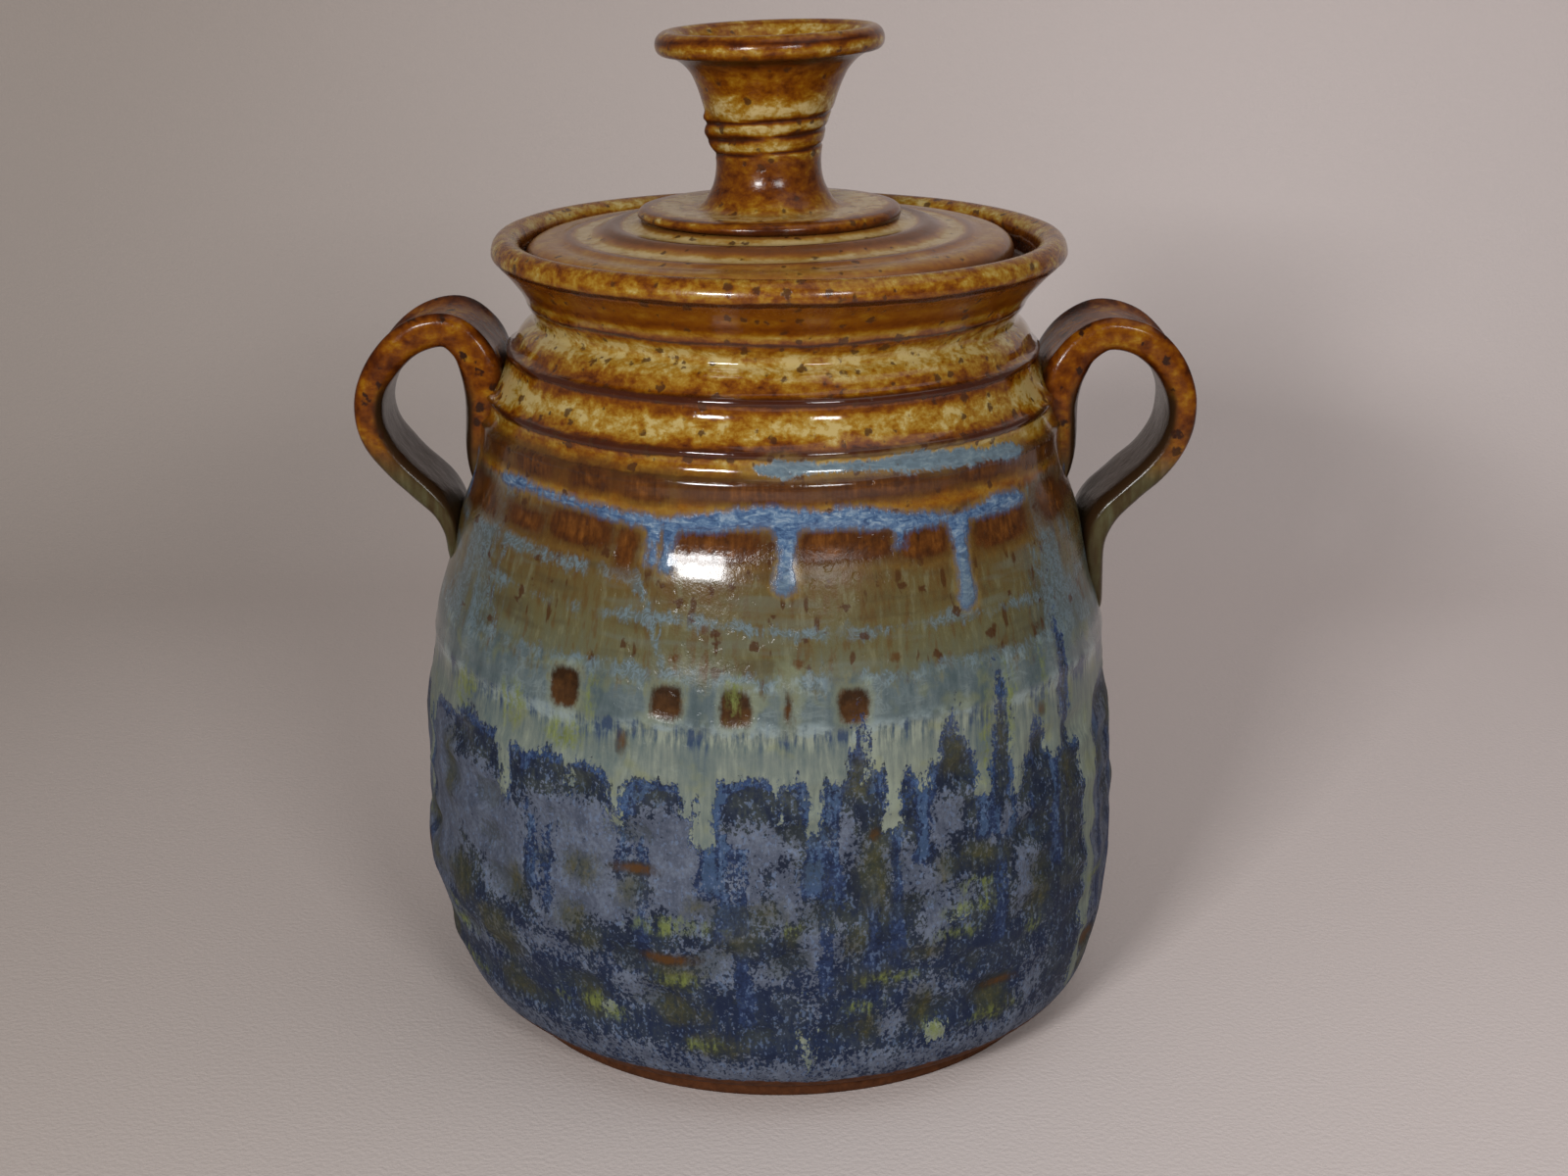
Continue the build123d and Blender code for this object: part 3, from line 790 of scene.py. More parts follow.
# %% The knob's spiral line, smear and tones
angle, radius, height = turned(knob_outline, 200)
row = np.arange(len(knob_outline))[:, None]
top_row = np.argmax(knob_outline[:, 1])
outer = eased((row - 8) / 4) * eased((top_row - row) / 4)
PITCH, KNOB_TILT = 4.1, 0.019
turned_height = height - PITCH * ((angle + np.pi) % (2 * np.pi)) / (2 * np.pi)
nearest = turned_height - 228.0
spiral = np.abs((nearest + PITCH / 2) % PITCH - PITCH / 2)
spiral_zone = eased((height - 228.0) / 1.6) * eased((240.0 - height) / 1.4) * outer
spiral_width = 0.62 + 0.45 * unevenness(angle, height, 12, 6.0, 111)
line_depth = spiral_zone * np.exp(-((spiral / spiral_width) ** 2))
radius = radius - 0.5 * line_depth + 0.18 * outer * unevenness(angle, height, 9, 9.0, 112)
smear = bump_at(beside(angle, -78), 0, 9) * bump_at(height, 234.0, 3.8) * outer
smear = smear + 0.6 * bump_at(beside(angle, -72), 0, 6) * bump_at(height, 238.6, 1.6) * outer
radius = radius + 2.1 * smear
KNOB_TONES = [
    (212, 0.05), (213.6, 0.10), (215, 0.60), (215.8, 0.70), (217.2, 0.52), (219.4, 0.36), (223, 0.32),
    (227.4, 0.38), (230.6, 0.76), (233.4, 0.58), (236, 0.86), (238.4, 0.80), (241.6, 0.84),
    (243.6, 0.62), (246, 0.42), (249, 0.44), (251.6, 0.30), (253.6, 0.05), (254.6, 0.42), (256.2, 0.72),
    (257.4, 0.40), (258.2, 0.06), (259, 0.40), (260, 0.62),
]
knob_tone = read_off(KNOB_TONES, height + 0.6 * unevenness(angle, height, 10, 8.0, 113))
knob_tone = knob_tone * (1 - 0.95 * np.clip(1.3 * line_depth, 0, 1)) * (1 - 0.8 * np.clip(smear, 0, 1))
DISC_TONES = [(15, 0.45), (18, 0.62), (21, 0.88), (28, 0.92), (30.2, 0.66), (31.6, 0.26), (33.4, 0.24)]
on_disc = eased((216.6 - height) / 1.0) * outer
knob_tone = knob_tone + on_disc * (read_off(DISC_TONES, radius) - knob_tone)
knob_tone = np.where(row > top_row + 3, 0.66 - 0.3 * bump_at(height, 250, 4), knob_tone)
with_lid = LID_TILT * radius * np.sin(angle) * eased((height - knob_seat) / 2)
height = height + eased((height - 216) / 20) * KNOB_TILT * radius * np.sin(angle) + with_lid
lean = LID_SHIFT + 0.2 * eased((height - 240) / 16)
poles = [(LID_SHIFT, 0, knob_seat), (LID_SHIFT + 0.2, 0, 228.7)]
# The disc's top is marked for the same painted reflection.
knob = ring_mesh("knob_trumpet", placed(angle, radius, height, lean), poles, {
    "tone": knob_tone, "bare": 0 * knob_tone, "painted_haze": on_disc * eased((31.6 - radius) / 1.0),
    "curdle": 0 * knob_tone + 1.0,
})
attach(knob, "lid")
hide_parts("lid_knob")

# %% [markdown]
# ## Floor and light
#
# The crock stands on a pale cloth that runs up behind it without a corner, which is one sheet
# bent on a large radius.  Two soft lamps, low in front, draw the two upright glints that every
# ring of the wall carries, and a broad one overhead fills in.  The pale world lights the scene
# only faintly, but a camera sees it brighter, so that nothing behind the crock is dark.

# %% The cloth sweep under and behind the crock
def cloth_sweep():
    """A sheet that is flat in front, then follows a quarter circle, then stands upright.

    Its long soft folds are bell curves across the sheet, kept away from the spot where the
    crock stands.
    """
    floor_end, bend_radius = 330, 260
    across = np.linspace(-900, 900, 120)[None, :]
    flat = np.linspace(-1500, floor_end, 60)
    bend = np.linspace(0, np.pi / 2, 26)[1:]
    upright = np.linspace(330, 1300, 14)
    y = np.concatenate([flat, floor_end + bend_radius * np.sin(bend), 0 * upright + 590])[:, None]
    z = np.concatenate([0 * flat, bend_radius * (1 - np.cos(bend)), upright])[:, None]
    random = np.random.default_rng(7)
    fold = 0 * (y + across)
    for _ in range(7):
        lean, place, width = random.uniform((-0.5, -700, 60), (0.5, 700, 150))
        fold += random.uniform(-5, 5) * bump_at(across + lean * (y + z - 500), place, width)
    fold *= eased((np.hypot(across, y) - 170) / 260)
    depth = eased((z + 0 * across) / 200)
    points = np.stack([across + 0 * y, y - fold * depth, z + np.abs(fold) * (1 - depth)], axis=-1)
    grid = np.arange(points.size // 3).reshape(points.shape[:2])
    squares = squares_between(grid[:, :-1], grid[:, 1:])
    return smooth_piece("cloth_sweep", points.reshape(-1, 3), squares)


cloth = cloth_sweep()
cloth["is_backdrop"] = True

# %% Three soft lamps and a pale world
def soft_lamp(name, azimuth, elevation, distance, width, height, power):
    """A rectangle lamp aimed at the shoulder; angles in degrees, 0 being the front."""
    data = bpy.data.lights.new(name, "AREA")
    data.shape = "RECTANGLE"
    data.size = width
    data.size_y = height
    data.energy = power
    lamp = bpy.data.objects.new(name, data)
    target = Vector((0.0, 0.0, 0.14))
    flat = np.cos(radians(elevation))
    away = Vector((
        flat * np.sin(radians(azimuth)), -flat * np.cos(radians(azimuth)), np.sin(radians(elevation)),
    ))
    lamp.location = target + distance * away
    lamp.rotation_euler = (-away).to_track_quat("-Z", "Y").to_euler()
    bpy.context.scene.collection.objects.link(lamp)


soft_lamp("lamp_left", -23.0, 21.0, 1.2, 0.24, 0.12, 8.2)
soft_lamp("lamp_right", 20.0, 22.0, 1.2, 0.26, 0.15, 3.9)
soft_lamp("lamp_top", 60.0, 66.0, 1.5, 1.4, 1.4, 4.4)

AS_LIGHT, AS_SEEN = 0.14, 0.62
world = bpy.data.worlds.new("pale_room")
bpy.context.scene.world = world
world.use_nodes = True
sky_node = world.node_tree.nodes["Background"]
sky_node.inputs["Color"].default_value = (0.80, 0.80, 0.83, 1.0)
seen = world.node_tree.nodes.new("ShaderNodeLightPath").outputs["Is Camera Ray"]
strength = world.node_tree.nodes.new("ShaderNodeMapRange")
strength.inputs["To Min"].default_value = AS_LIGHT
strength.inputs["To Max"].default_value = AS_SEEN
world.node_tree.links.new(seen, strength.inputs["Value"])
world.node_tree.links.new(strength.outputs[0], sky_node.inputs["Strength"])
print("lamps:", len(bpy.data.lights))

# %% [markdown]
# ## Glaze as a recipe of nodes
#
# A shader tree can be drawn by hand in the editor, but written down it reads like a recipe:
# take a noise, roughen an edge, lay one colour over another.  The class below adds a node or
# two per step and hands back the socket that the next step uses.  Sizes are in millimetres
# here too, and Object coordinates keep every pattern fixed to the clay.

# %% A short way to write shader nodes
def fired(red, green, blue):
    """A colour as the eye names it, 0 to 255, made linear for the shader."""
    share = np.array([red, green, blue]) / 255.0
    linear = np.where(share <= 0.04045, share / 12.92, ((share + 0.055) / 1.055) ** 2.4)
    return (*linear.tolist(), 1.0)


class Recipe:
    """Adds nodes to a tree; each method is one step and returns its result's socket.

    `place` is where on the clay a pattern is looked up, and the patterns use it by default.
    """

    def __init__(self, tree):
        self.tree = tree
        self.place = None

    def fill(self, sockets, values):
        """Links each value to its socket, or writes it there if it is a plain number."""
        for key, value in values.items():
            if isinstance(value, bpy.types.NodeSocket):
                self.tree.links.new(value, sockets[key])
            else:
                sockets[key].default_value = value

    def node(self, kind, inputs=None, **settings):
        """A new node with its settings and inputs."""
        made = self.tree.nodes.new(kind)
        for name, value in settings.items():
            setattr(made, name, value)
        self.fill(made.inputs, inputs or {})
        return made

    def use(self, tree, **inputs):
        """The outputs of a node group placed here with its own values."""
        inputs = {"Place": self.place, **inputs}
        return self.node("ShaderNodeGroup", inputs, node_tree=tree).outputs

    def report(self, layer):
        """Prints how many nodes there are once a layer is in."""
        print(f"{layer}: {len(self.tree.nodes)} nodes")

    def field(self, name):
        """The number painted on the mesh under this name."""
        return self.node("ShaderNodeAttribute", attribute_name=name).outputs["Fac"]

    def millimetres(self, axis):
        """How far along X, Y or Z the place lies."""
        return self.times(self.node("ShaderNodeSeparateXYZ", {0: self.place}).outputs[axis], 1.0 / MM)

    def math(self, operation, first, second=0.0):
        """One operation of the Math node, such as MAXIMUM or ABSOLUTE."""
        return self.node("ShaderNodeMath", {0: first, 1: second}, operation=operation).outputs[0]

    def times(self, first, *others):
        """The product of all of them."""
        for other in others:
            first = self.math("MULTIPLY", first, other)
        return first

    def rest(self, share):
        """What a share leaves of one."""
        return self.math("SUBTRACT", 1.0, share)

    def apart(self, first, second):
        """The distance between two values."""
        return self.math("ABSOLUTE", self.math("SUBTRACT", first, second))

    def sum(self, first, second, factor=1.0):
        """The first plus the second times a factor."""
        inputs = {0: second, 1: factor, 2: first}
        return self.node("ShaderNodeMath", inputs, operation="MULTIPLY_ADD").outputs[0]

    def total(self, start, *parts):
        """A start plus each (value, factor) of the parts."""
        for value, factor in parts:
            start = self.sum(start, value, factor)
        return start

    def slope(self, value, low, high):
        """0 at low, 1 at high, a straight line between, and level beyond both."""
        inputs = {"Value": value, "From Min": low, "From Max": high}
        return self.node("ShaderNodeMapRange", inputs).outputs[0]

    def step(self, value, low, high):
        """0 below low, 1 above high (or the other way round), and an S-shaped rise between."""
        inputs = {"Value": value, "From Min": low, "From Max": high}
        return self.node("ShaderNodeMapRange", inputs, interpolation_type="SMOOTHSTEP").outputs[0]

    def stretched(self, factors, place=None):
        """A place with each of its coordinates times a factor."""
        inputs = {0: place or self.place, 1: factors}
        return self.node("ShaderNodeVectorMath", inputs, operation="MULTIPLY").outputs[0]

    def stir(self, size, detail=2.0, flat=1.0, roughness=0.5, swirl=0.0, place=None):
        """Cloudy values about 0, within half a unit, in lumps `size` mm wide.

        `flat` over one flattens the lumps and under one draws them out into upright streaks.
        """
        scaled = self.stretched([factor / (size * MM) for factor in (1, 1, flat)], place)
        inputs = {
            "Vector": scaled, "Scale": 1.0, "Detail": detail, "Roughness": roughness,
            "Distortion": swirl,
        }
        return self.math("SUBTRACT", self.node("ShaderNodeTexNoise", inputs).outputs[0], 0.5)

    def mix(self, share, below, above):
        """From the number below to the number above, as far as the share says."""
        return self.node("ShaderNodeMix", {0: share, 2: below, 3: above}).outputs[0]

    def blend(self, share, below, above):
        """The colour above laid over the colour below, as far as the share says."""
        inputs = {0: share, 6: below, 7: above}
        return self.node("ShaderNodeMix", inputs, data_type="RGBA").outputs[2]

    def tint(self, below, rgb, *shares):
        """One plain colour laid over another, as far as the product of the shares says."""
        return self.blend(self.times(*shares), below, fired(*rgb))

    def ramp(self, share, *stops):
        """A colour read off a scale of (place, red, green, blue) stops."""
        made = self.node("ShaderNodeValToRGB", {0: share})
        scale = made.color_ramp
        while len(scale.elements) < len(stops):
            scale.elements.new(0.5)
        for element, (place, *rgb) in zip(scale.elements, stops):
            element.position = place
            element.color = fired(*rgb)
        return made.outputs[0]


# %% An empty node group
def group(name, numbers, *outputs):
    """An empty node group that takes a Place and named numbers, and gives (name, kind) outputs."""
    tree = bpy.data.node_groups.new(name, "ShaderNodeTree")
    tree.interface.new_socket("Place", in_out="INPUT", socket_type="NodeSocketVector")
    for socket, value in numbers.items():
        made = tree.interface.new_socket(socket, in_out="INPUT", socket_type="NodeSocketFloat")
        made.default_value = value
    for socket, kind in outputs:
        tree.interface.new_socket(socket, in_out="OUTPUT", socket_type="NodeSocket" + kind)
    recipe = Recipe(tree)
    given = tree.nodes.new("NodeGroupInput").outputs
    recipe.place = given["Place"]
    return tree, recipe, given, tree.nodes.new("NodeGroupOutput").inputs


# %% [markdown]
# ### Iron specks
#
# Grains of iron in the clay bleed through the glaze as brown dots of one or two millimetres.
# A Voronoi pattern scatters one point per cell; the cell's own random colour decides whether
# the point becomes a speck at all and how large, so the specks don't look like a grid.

# %% Node group: iron specks
speck_group, r, given, result = group(
    "iron_specks", {"Spacing": 2.7, "Amount": 0.5}, ("Speck", "Float"),
)
per_metre = r.math("DIVIDE", 1.0 / MM, given["Spacing"])
scaled = r.node("ShaderNodeVectorMath", {0: r.place, "Scale": per_metre}, operation="SCALE").outputs[0]
cells = r.node("ShaderNodeTexVoronoi", {"Vector": scaled, "Scale": 1.0, "Randomness": 1.0})
luck_of_cell = r.node("ShaderNodeSeparateColor", {0: cells.outputs["Color"]}).outputs[0]
near = r.sum(cells.outputs["Distance"], r.stir(1.3, 2), 0.75)
chance = r.math("SUBTRACT", luck_of_cell, r.rest(given["Amount"]))
size_of_speck = r.times(chance, 0.62)
speck = r.step(r.math("SUBTRACT", size_of_speck, near), -0.09, 0.09)
enough = r.math("GREATER_THAN", size_of_speck, 0.05)
r.fill(result, {"Speck": r.times(speck, enough)})
r.report("iron specks")

# %% [markdown]
# ### Amber glaze that breaks
#
# Where this glaze is thick it turns opaque cream, and where a crest thins it the iron shows
# through as brown.  The painted tone says how thick it lies; two noises, one of finger size and
# one of grain size, curdle the border between cream and brown.

# %% Node group: amber glaze breaking from dark brown to cream
amber_group, r, given, result = group(
    "amber_breaking", {"Tone": 0.5, "Curdle": 1.0}, ("Colour", "Color"), ("Thickness", "Float"),
)
lumps = r.stir(5.4, 4, 1.6, 0.62, 0.3)
veins = r.stir(1.5, 3, 1.2, 0.6)
curdled = r.times(r.sum(r.times(lumps, 1.6), veins, 0.7), given["Curdle"])
middle = r.times(given["Tone"], r.math("SUBTRACT", 1.6, given["Tone"]))
thickness = r.sum(given["Tone"], r.times(curdled, middle), 1.5)
amber_colour = r.ramp(
    thickness, (0.0, 46, 18, 4), (0.14, 70, 29, 4), (0.30, 98, 48, 6), (0.46, 118, 66, 6),
    (0.60, 134, 88, 14), (0.76, 150, 113, 36), (0.88, 160, 132, 66), (1.0, 176, 154, 98),
)
r.fill(result, {"Colour": amber_colour, "Thickness": thickness})
r.report("amber glaze")

# %% [markdown]
# ### Lacy edges
#
# One glaze melts into another along an edge like torn lace: it wanders, it is combed into short
# upright hairs, and it dissolves into grains.  The edge's signed distance is on the mesh; here
# three noises push it about, in millimetres, before it becomes a mask.

# %% Node group: the edge of a poured glaze
edge_group, r, given, result = group(
    "lacy_edge", {"Distance": 0.0, "Ragged": 1.5, "Grainy": 1.0, "Soft": 0.6},
    ("Mask", "Float"), ("Rim", "Float"),
)
wander = r.stir(4, 2, 0.5)
hairs = r.stir(1, 2, 0.22, 0.6)
crumbs = r.stir(1.1, 3, 0.85, 0.75)
torn = r.sum(given["Distance"], r.sum(wander, hairs, 0.9), r.times(given["Ragged"], 2.6))
torn = r.sum(torn, crumbs, r.times(given["Grainy"], 5.0))
ratio = r.math("DIVIDE", torn, given["Soft"])
rim = r.step(r.math("ABSOLUTE", ratio), 2.6, 0.6)
r.fill(result, {"Mask": r.step(ratio, -1.0, 1.0), "Rim": rim})
r.report("edge of a glaze")


def edge(recipe, field, ragged, grainy, soft):
    """The mask and the rim of the glaze whose distance is painted under the field's name."""
    distance = recipe.field(field)
    return recipe.use(edge_group, Distance=distance, Ragged=ragged, Grainy=grainy, Soft=soft)


# %% A material begun and finished
def glaze_material(name):
    """A new material and its recipe, whose patterns stay in place on the clay."""
    material = bpy.data.materials.new(name)
    material.use_nodes = True
    recipe = Recipe(material.node_tree)
    recipe.place = recipe.node("ShaderNodeTexCoord").outputs["Object"]
    return material, recipe


def finish_material(material, recipe, pieces, colour, roughness, relief, depth, **plain):
    """Fills the shader and gives the material to its pieces.

    The relief becomes a bump `depth` mm high.  The plain values are named like the shader's
    sockets, with underscores for spaces.
    """
    bump = recipe.node("ShaderNodeBump", {"Height": relief, "Distance": depth * MM, "Strength": 1.0})
    shader = material.node_tree.nodes["Principled BSDF"]
    values = {"Base Color": colour, "Roughness": roughness, "Normal": bump.outputs[0]}
    values.update((name.replace("_", " "), value) for name, value in plain.items())
    recipe.fill(shader.inputs, values)
    for piece in pieces:
        piece.data.materials.append(material)
    recipe.report(material.name)


# %% [markdown]
# ## The vessel's glaze
#
# From the top down: amber and cream over the shoulder's rings, a thin line of sky blue, brown
# turning olive with upright streaks, a pale celadon apron with windows where the brown shows
# through, and under its drips a blue that curdled into lavender, navy and olive, down to a bare
# foot.  Each layer is laid over the last in that order, the way the glazes were.

# %% Vessel glaze: the noises that its layers share
body, r = glaze_material("body_glaze")
height = r.millimetres("Z")
drift = r.stir(22, 2, 1.6)
lumps = r.stir(7.5, 2, 1, 0.55)
curds = r.stir(3, 3, 0.9, 0.6)
grains = r.stir(0.75, 2, 0.9, 0.7)
streaks = r.stir(1.3, 3, 0.09, 0.6)
sheets = r.stir(9, 2, 0.16)
curls = r.stir(2.8, 2, 0.8, 0.55, 1.8)
vein = r.step(r.math("ABSOLUTE", curls), 0.085, 0.015)
warped = r.sum(height, drift, 7.0)
r.report("noises")

# %% Vessel glaze: olive ground with dashes and wisps
ground_share = r.slope(r.total(warped, (streaks, 16), (sheets, 14)), 156.0, 104.0)
warm = r.ramp(
    ground_share, (0.0, 90, 54, 19), (0.22, 88, 62, 29), (0.40, 90, 76, 44), (0.60, 90, 84, 56),
    (0.80, 88, 90, 72), (1.0, 94, 102, 92),
)
cool = r.ramp(
    ground_share, (0.0, 76, 62, 38), (0.40, 74, 72, 56), (0.70, 76, 80, 72), (1.0, 90, 100, 100),
)
cool_share = r.step(r.total(r.field("cool"), (sheets, 1.6), (lumps, 0.8)), 0.3, 0.8)
colour = r.blend(cool_share, warm, cool)
tears = r.stir(2.2, 3, 0.07, 0.6)
colour = r.tint(colour, (84, 58, 26), r.step(tears, 0.02, 0.16), 0.55)
colour = r.tint(colour, (112, 110, 84), r.step(tears, -0.04, -0.18), 0.45)
thrown = r.stir(24, 2, 6.0, 0.5)
colour = r.tint(colour, (66, 56, 38), r.step(thrown, 0.0, 0.20), 0.45)
colour = r.tint(colour, (98, 104, 94), r.step(thrown, -0.04, -0.22), 0.35)
drawn_out = r.stretched((1.0, 1.0, 0.17))
dashes = r.use(speck_group, Place=drawn_out, Spacing=2.7, Amount=0.56)["Speck"]
colour = r.tint(colour, (66, 40, 18), dashes, 0.85)
wisp = edge(r, "veil", 2.0, 0.5, 1.1)["Mask"]
wisp = r.times(wisp, r.step(r.sum(0.5, sheets, 1.8), 0.16, 0.56))
colour = r.tint(colour, (82, 95, 98), wisp, 0.72)
colour = r.tint(colour, (106, 124, 134), wisp, vein, 0.6)
r.report("with the olive ground")

# %% Vessel glaze: amber shoulder
amber = r.use(amber_group, Tone=r.field("tone"), Curdle=r.field("curdle"))
colour = r.blend(r.step(r.sum(height, curds, 4.0), 152.0, 155.0), colour, amber["Colour"])
LINES = [(161.9, 0.75), (CREST_LOW - 0.3, 0.85), (CREST_HIGH - 0.4, 0.85), (192.4, 0.25), (SCORE, 0.5)]
wavy = r.total(height, (drift, 1.6), (curds, 0.8))
line = 0.0
for level, half_width in LINES:
    off = r.sum(r.apart(wavy, level), lumps, 1.0)
    line = r.math("MAXIMUM", line, r.step(off, half_width + 0.45, half_width - 0.25))
colour = r.tint(colour, (58, 24, 10), line, 0.9)
r.report("with the amber shoulder")

# %% Vessel glaze: brown patches and windows with their pale outlines
brown = edge(r, "brown", 0.6, 0.25, 0.8)
halo = r.step(r.sum(r.field("brown"), curds, 3.0), -3.2, -0.3)
halo_colour = r.tint(fired(112, 84, 34), (124, 134, 108), r.step(height, 134.0, 122.0))
colour = r.blend(r.times(halo, r.sum(0.5, sheets, 1.2)), colour, halo_colour)
brown_colour = r.ramp(
    r.total(0.5, (curds, 1.1), (streaks, 0.9)), (0.2, 56, 30, 12), (0.5, 84, 47, 16),
    (0.8, 110, 66, 24),
)
r.report("with the brown patches")

# %% Vessel glaze: sky-blue band
sky = edge(r, "sky", 1.0, 0.35, 0.55)
glow = r.step(r.sum(r.field("sky"), curds, 3.0), -2.6, -0.4)
colour = r.tint(colour, (136, 112, 58), glow, 0.45)
colour = r.blend(brown["Mask"], colour, brown_colour)
colour = r.tint(colour, (58, 30, 14), brown["Rim"], 0.45)
flow = r.stir(3.4, 3, 2.6, 0.6, 1.2)
sky_colour = r.ramp(
    r.total(0.50, (flow, 1.9), (curds, 0.7), (grains, 0.25)), (0.14, 48, 68, 98), (0.36, 70, 94, 126),
    (0.58, 92, 116, 142), (0.86, 132, 148, 162),
)
sky_colour = r.tint(sky_colour, (104, 116, 112), r.step(height, 158.0, 163.0), 0.6)
sky_colour = r.tint(sky_colour, (96, 108, 110), r.step(r.sum(height, curds, 8.0), 149.0, 136.0), 0.55)
colour = r.blend(sky["Mask"], colour, sky_colour)
sky_rim = r.times(sky["Rim"], r.step(height, 163.0, 158.0))
colour = r.tint(colour, (52, 76, 112), sky_rim, 0.4)
r.report("with the sky-blue band")

# %% Vessel glaze: celadon apron
pour = edge(r, "celadon", 2.1, 1.2, 0.35)
apron_top = r.step(r.total(height, (streaks, 12), (curds, 14), (drift, 8)), 118.5, 112.0)
fall = r.slope(height, 106.0, 90.0)
combed = r.times(
    r.total(streaks, (curds, 0.4), (sheets, 0.7)), r.sum(2.8, r.step(fall, 0.1, 0.45), -2.1),
)
from_side = r.millimetres("X")
thick_pour = r.step(r.math("ABSOLUTE", r.sum(from_side, -30.0)), 22.0, 8.0)
apron_share = r.total(0.42, (combed, 1), (fall, 0.26), (thick_pour, 0.17))
apron_colour = r.ramp(
    apron_share, (0.10, 46, 62, 84), (0.28, 70, 84, 93), (0.46, 90, 101, 98), (0.64, 106, 114, 106),
    (0.86, 128, 135, 121),
)
above_ring = r.step(r.total(height, (curds, 5), (streaks, 5)), 104.6, 106.6)
misty = r.ramp(
    r.total(0.5, (sheets, 1.4), (curds, 0.6), (streaks, 0.8)), (0.2, 70, 82, 84), (0.5, 84, 95, 97),
    (0.8, 102, 111, 108),
)
drape = r.stir(9, 4, 2.0, 0.62, 1.4)
strands = r.step(r.math("ABSOLUTE", drape), 0.075, 0.01)
misty = r.tint(misty, (118, 130, 130), strands, r.step(sheets, -0.10, 0.16), 0.5)
apron_colour = r.blend(above_ring, apron_colour, misty)
# Two pale wavy rings near 105 and 117 mm: partly the glaze's own pale foam, partly a painted highlight along
# the throwing ridges there.
ring_foam_and_highlight = r.step(r.apart(r.total(height, (curds, 5), (drift, 7)), 105.4), 2.6, 0.8)
high_foam_and_highlight = r.step(r.apart(r.total(height, (curds, 7), (drift, 9)), 116.6), 2.2, 0.6)
foam_and_highlight_share = r.times(
    r.math("MAXIMUM", r.times(ring_foam_and_highlight, 0.75), high_foam_and_highlight),
    r.step(r.sum(sheets, curds, 0.8), -0.12, 0.14),
)
apron_colour = r.tint(apron_colour, (132, 146, 147), foam_and_highlight_share, 0.9)
apron_colour = r.tint(apron_colour, (118, 120, 80), r.step(lumps, 0.05, 0.2), 0.4)
colour = r.blend(r.times(apron_top, pour["Mask"]), colour, apron_colour)
low_window = r.step(height, 122.0, 118.0)
colour = r.tint(colour, (122, 126, 100), brown["Rim"], low_window, 0.4)
window_shade = r.total(0.5, (curds, 1.2), (r.step(height, 107.0, 115.0), -0.4))
window_colour = r.ramp(window_shade, (0.15, 46, 28, 12), (0.5, 70, 44, 20), (0.85, 88, 62, 32))
colour = r.blend(r.times(brown["Mask"], low_window), colour, window_colour)
r.report("with the celadon apron")

# %% Vessel glaze: slate, deep blue and lavender under the drips
salt = r.stir(0.95, 2, 0.9, 0.7)
crumbs = r.stir(1.9, 2, 0.7, 0.7)
leaning = {"Vector": r.place, "Angle": 0.5}
slant = r.node("ShaderNodeVectorRotate", leaning, rotation_type="Y_AXIS").outputs[0]
wisps = r.stir(3.4, 3, 0.34, 0.65, place=slant)
slate = r.ramp(
    r.total(0.5, (lumps, 1.2), (wisps, 0.9), (salt, 0.6), (streaks, 0.7)), (0.20, 23, 30, 47),
    (0.42, 33, 41, 56), (0.60, 46, 52, 55), (0.80, 62, 68, 70),
)
deep = edge(r, "deep", 1.3, 1.3, 0.4)
deep_colour = r.ramp(
    r.total(0.48, (salt, 0.8), (curds, 0.9)), (0.20, 21, 28, 48), (0.46, 31, 43, 72),
    (0.66, 46, 62, 96), (0.86, 84, 104, 132),
)
near_drip = r.step(r.total(r.field("celadon"), (grains, 5), (curds, 4)), -2.6, -0.3)
near_drip = r.times(near_drip, r.step(r.sum(lumps, curds, 0.7), -0.1, 0.16))
deep_colour = r.tint(deep_colour, (46, 72, 114), near_drip, 0.5)
core = r.step(r.total(r.field("deep"), (salt, 5), (streaks, 4)), 0.7, 1.5)
core = r.times(core, r.step(height, 52.0, 72.0))
deep_colour = r.tint(deep_colour, (84, 112, 144), core, 0.32)
slate = r.tint(slate, (27, 39, 68), r.step(height, 56.0, 42.0), 0.45)
blue_colour = r.blend(r.times(deep["Mask"], 0.9), slate, deep_colour)
misted = r.total(r.field("frost"), (curds, 7), (wisps, 9), (lumps, 5))
mist_share = r.sum(0.58, r.step(height, 42.0, 56.0), 0.27)
mist_share = r.times(r.step(misted, -7.0, 4.5), mist_share)
frost_density = r.total(0.14, (mist_share, 1), (deep["Mask"], -0.70))
frost = r.step(r.total(frost_density, (salt, 1.9), (crumbs, 1.1)), 0.42, 0.58)
frost_colour = r.ramp(
    r.total(0.5, (lumps, 0.8), (wisps, 0.7), (salt, 0.8)), (0.22, 62, 69, 84), (0.50, 80, 86, 101),
    (0.80, 100, 108, 124),
)
blue_colour = r.blend(r.times(frost, 0.92), blue_colour, frost_colour)
dust = r.total(r.stir(0.8, 1, 0.7), (crumbs, 0.35), (streaks, 0.5))
grit = r.step(r.sum(dust, wisps, 0.35), 0.10, 0.20)
blue_colour = r.tint(blue_colour, (98, 116, 146), grit, 0.42)
r.report("with the blues")

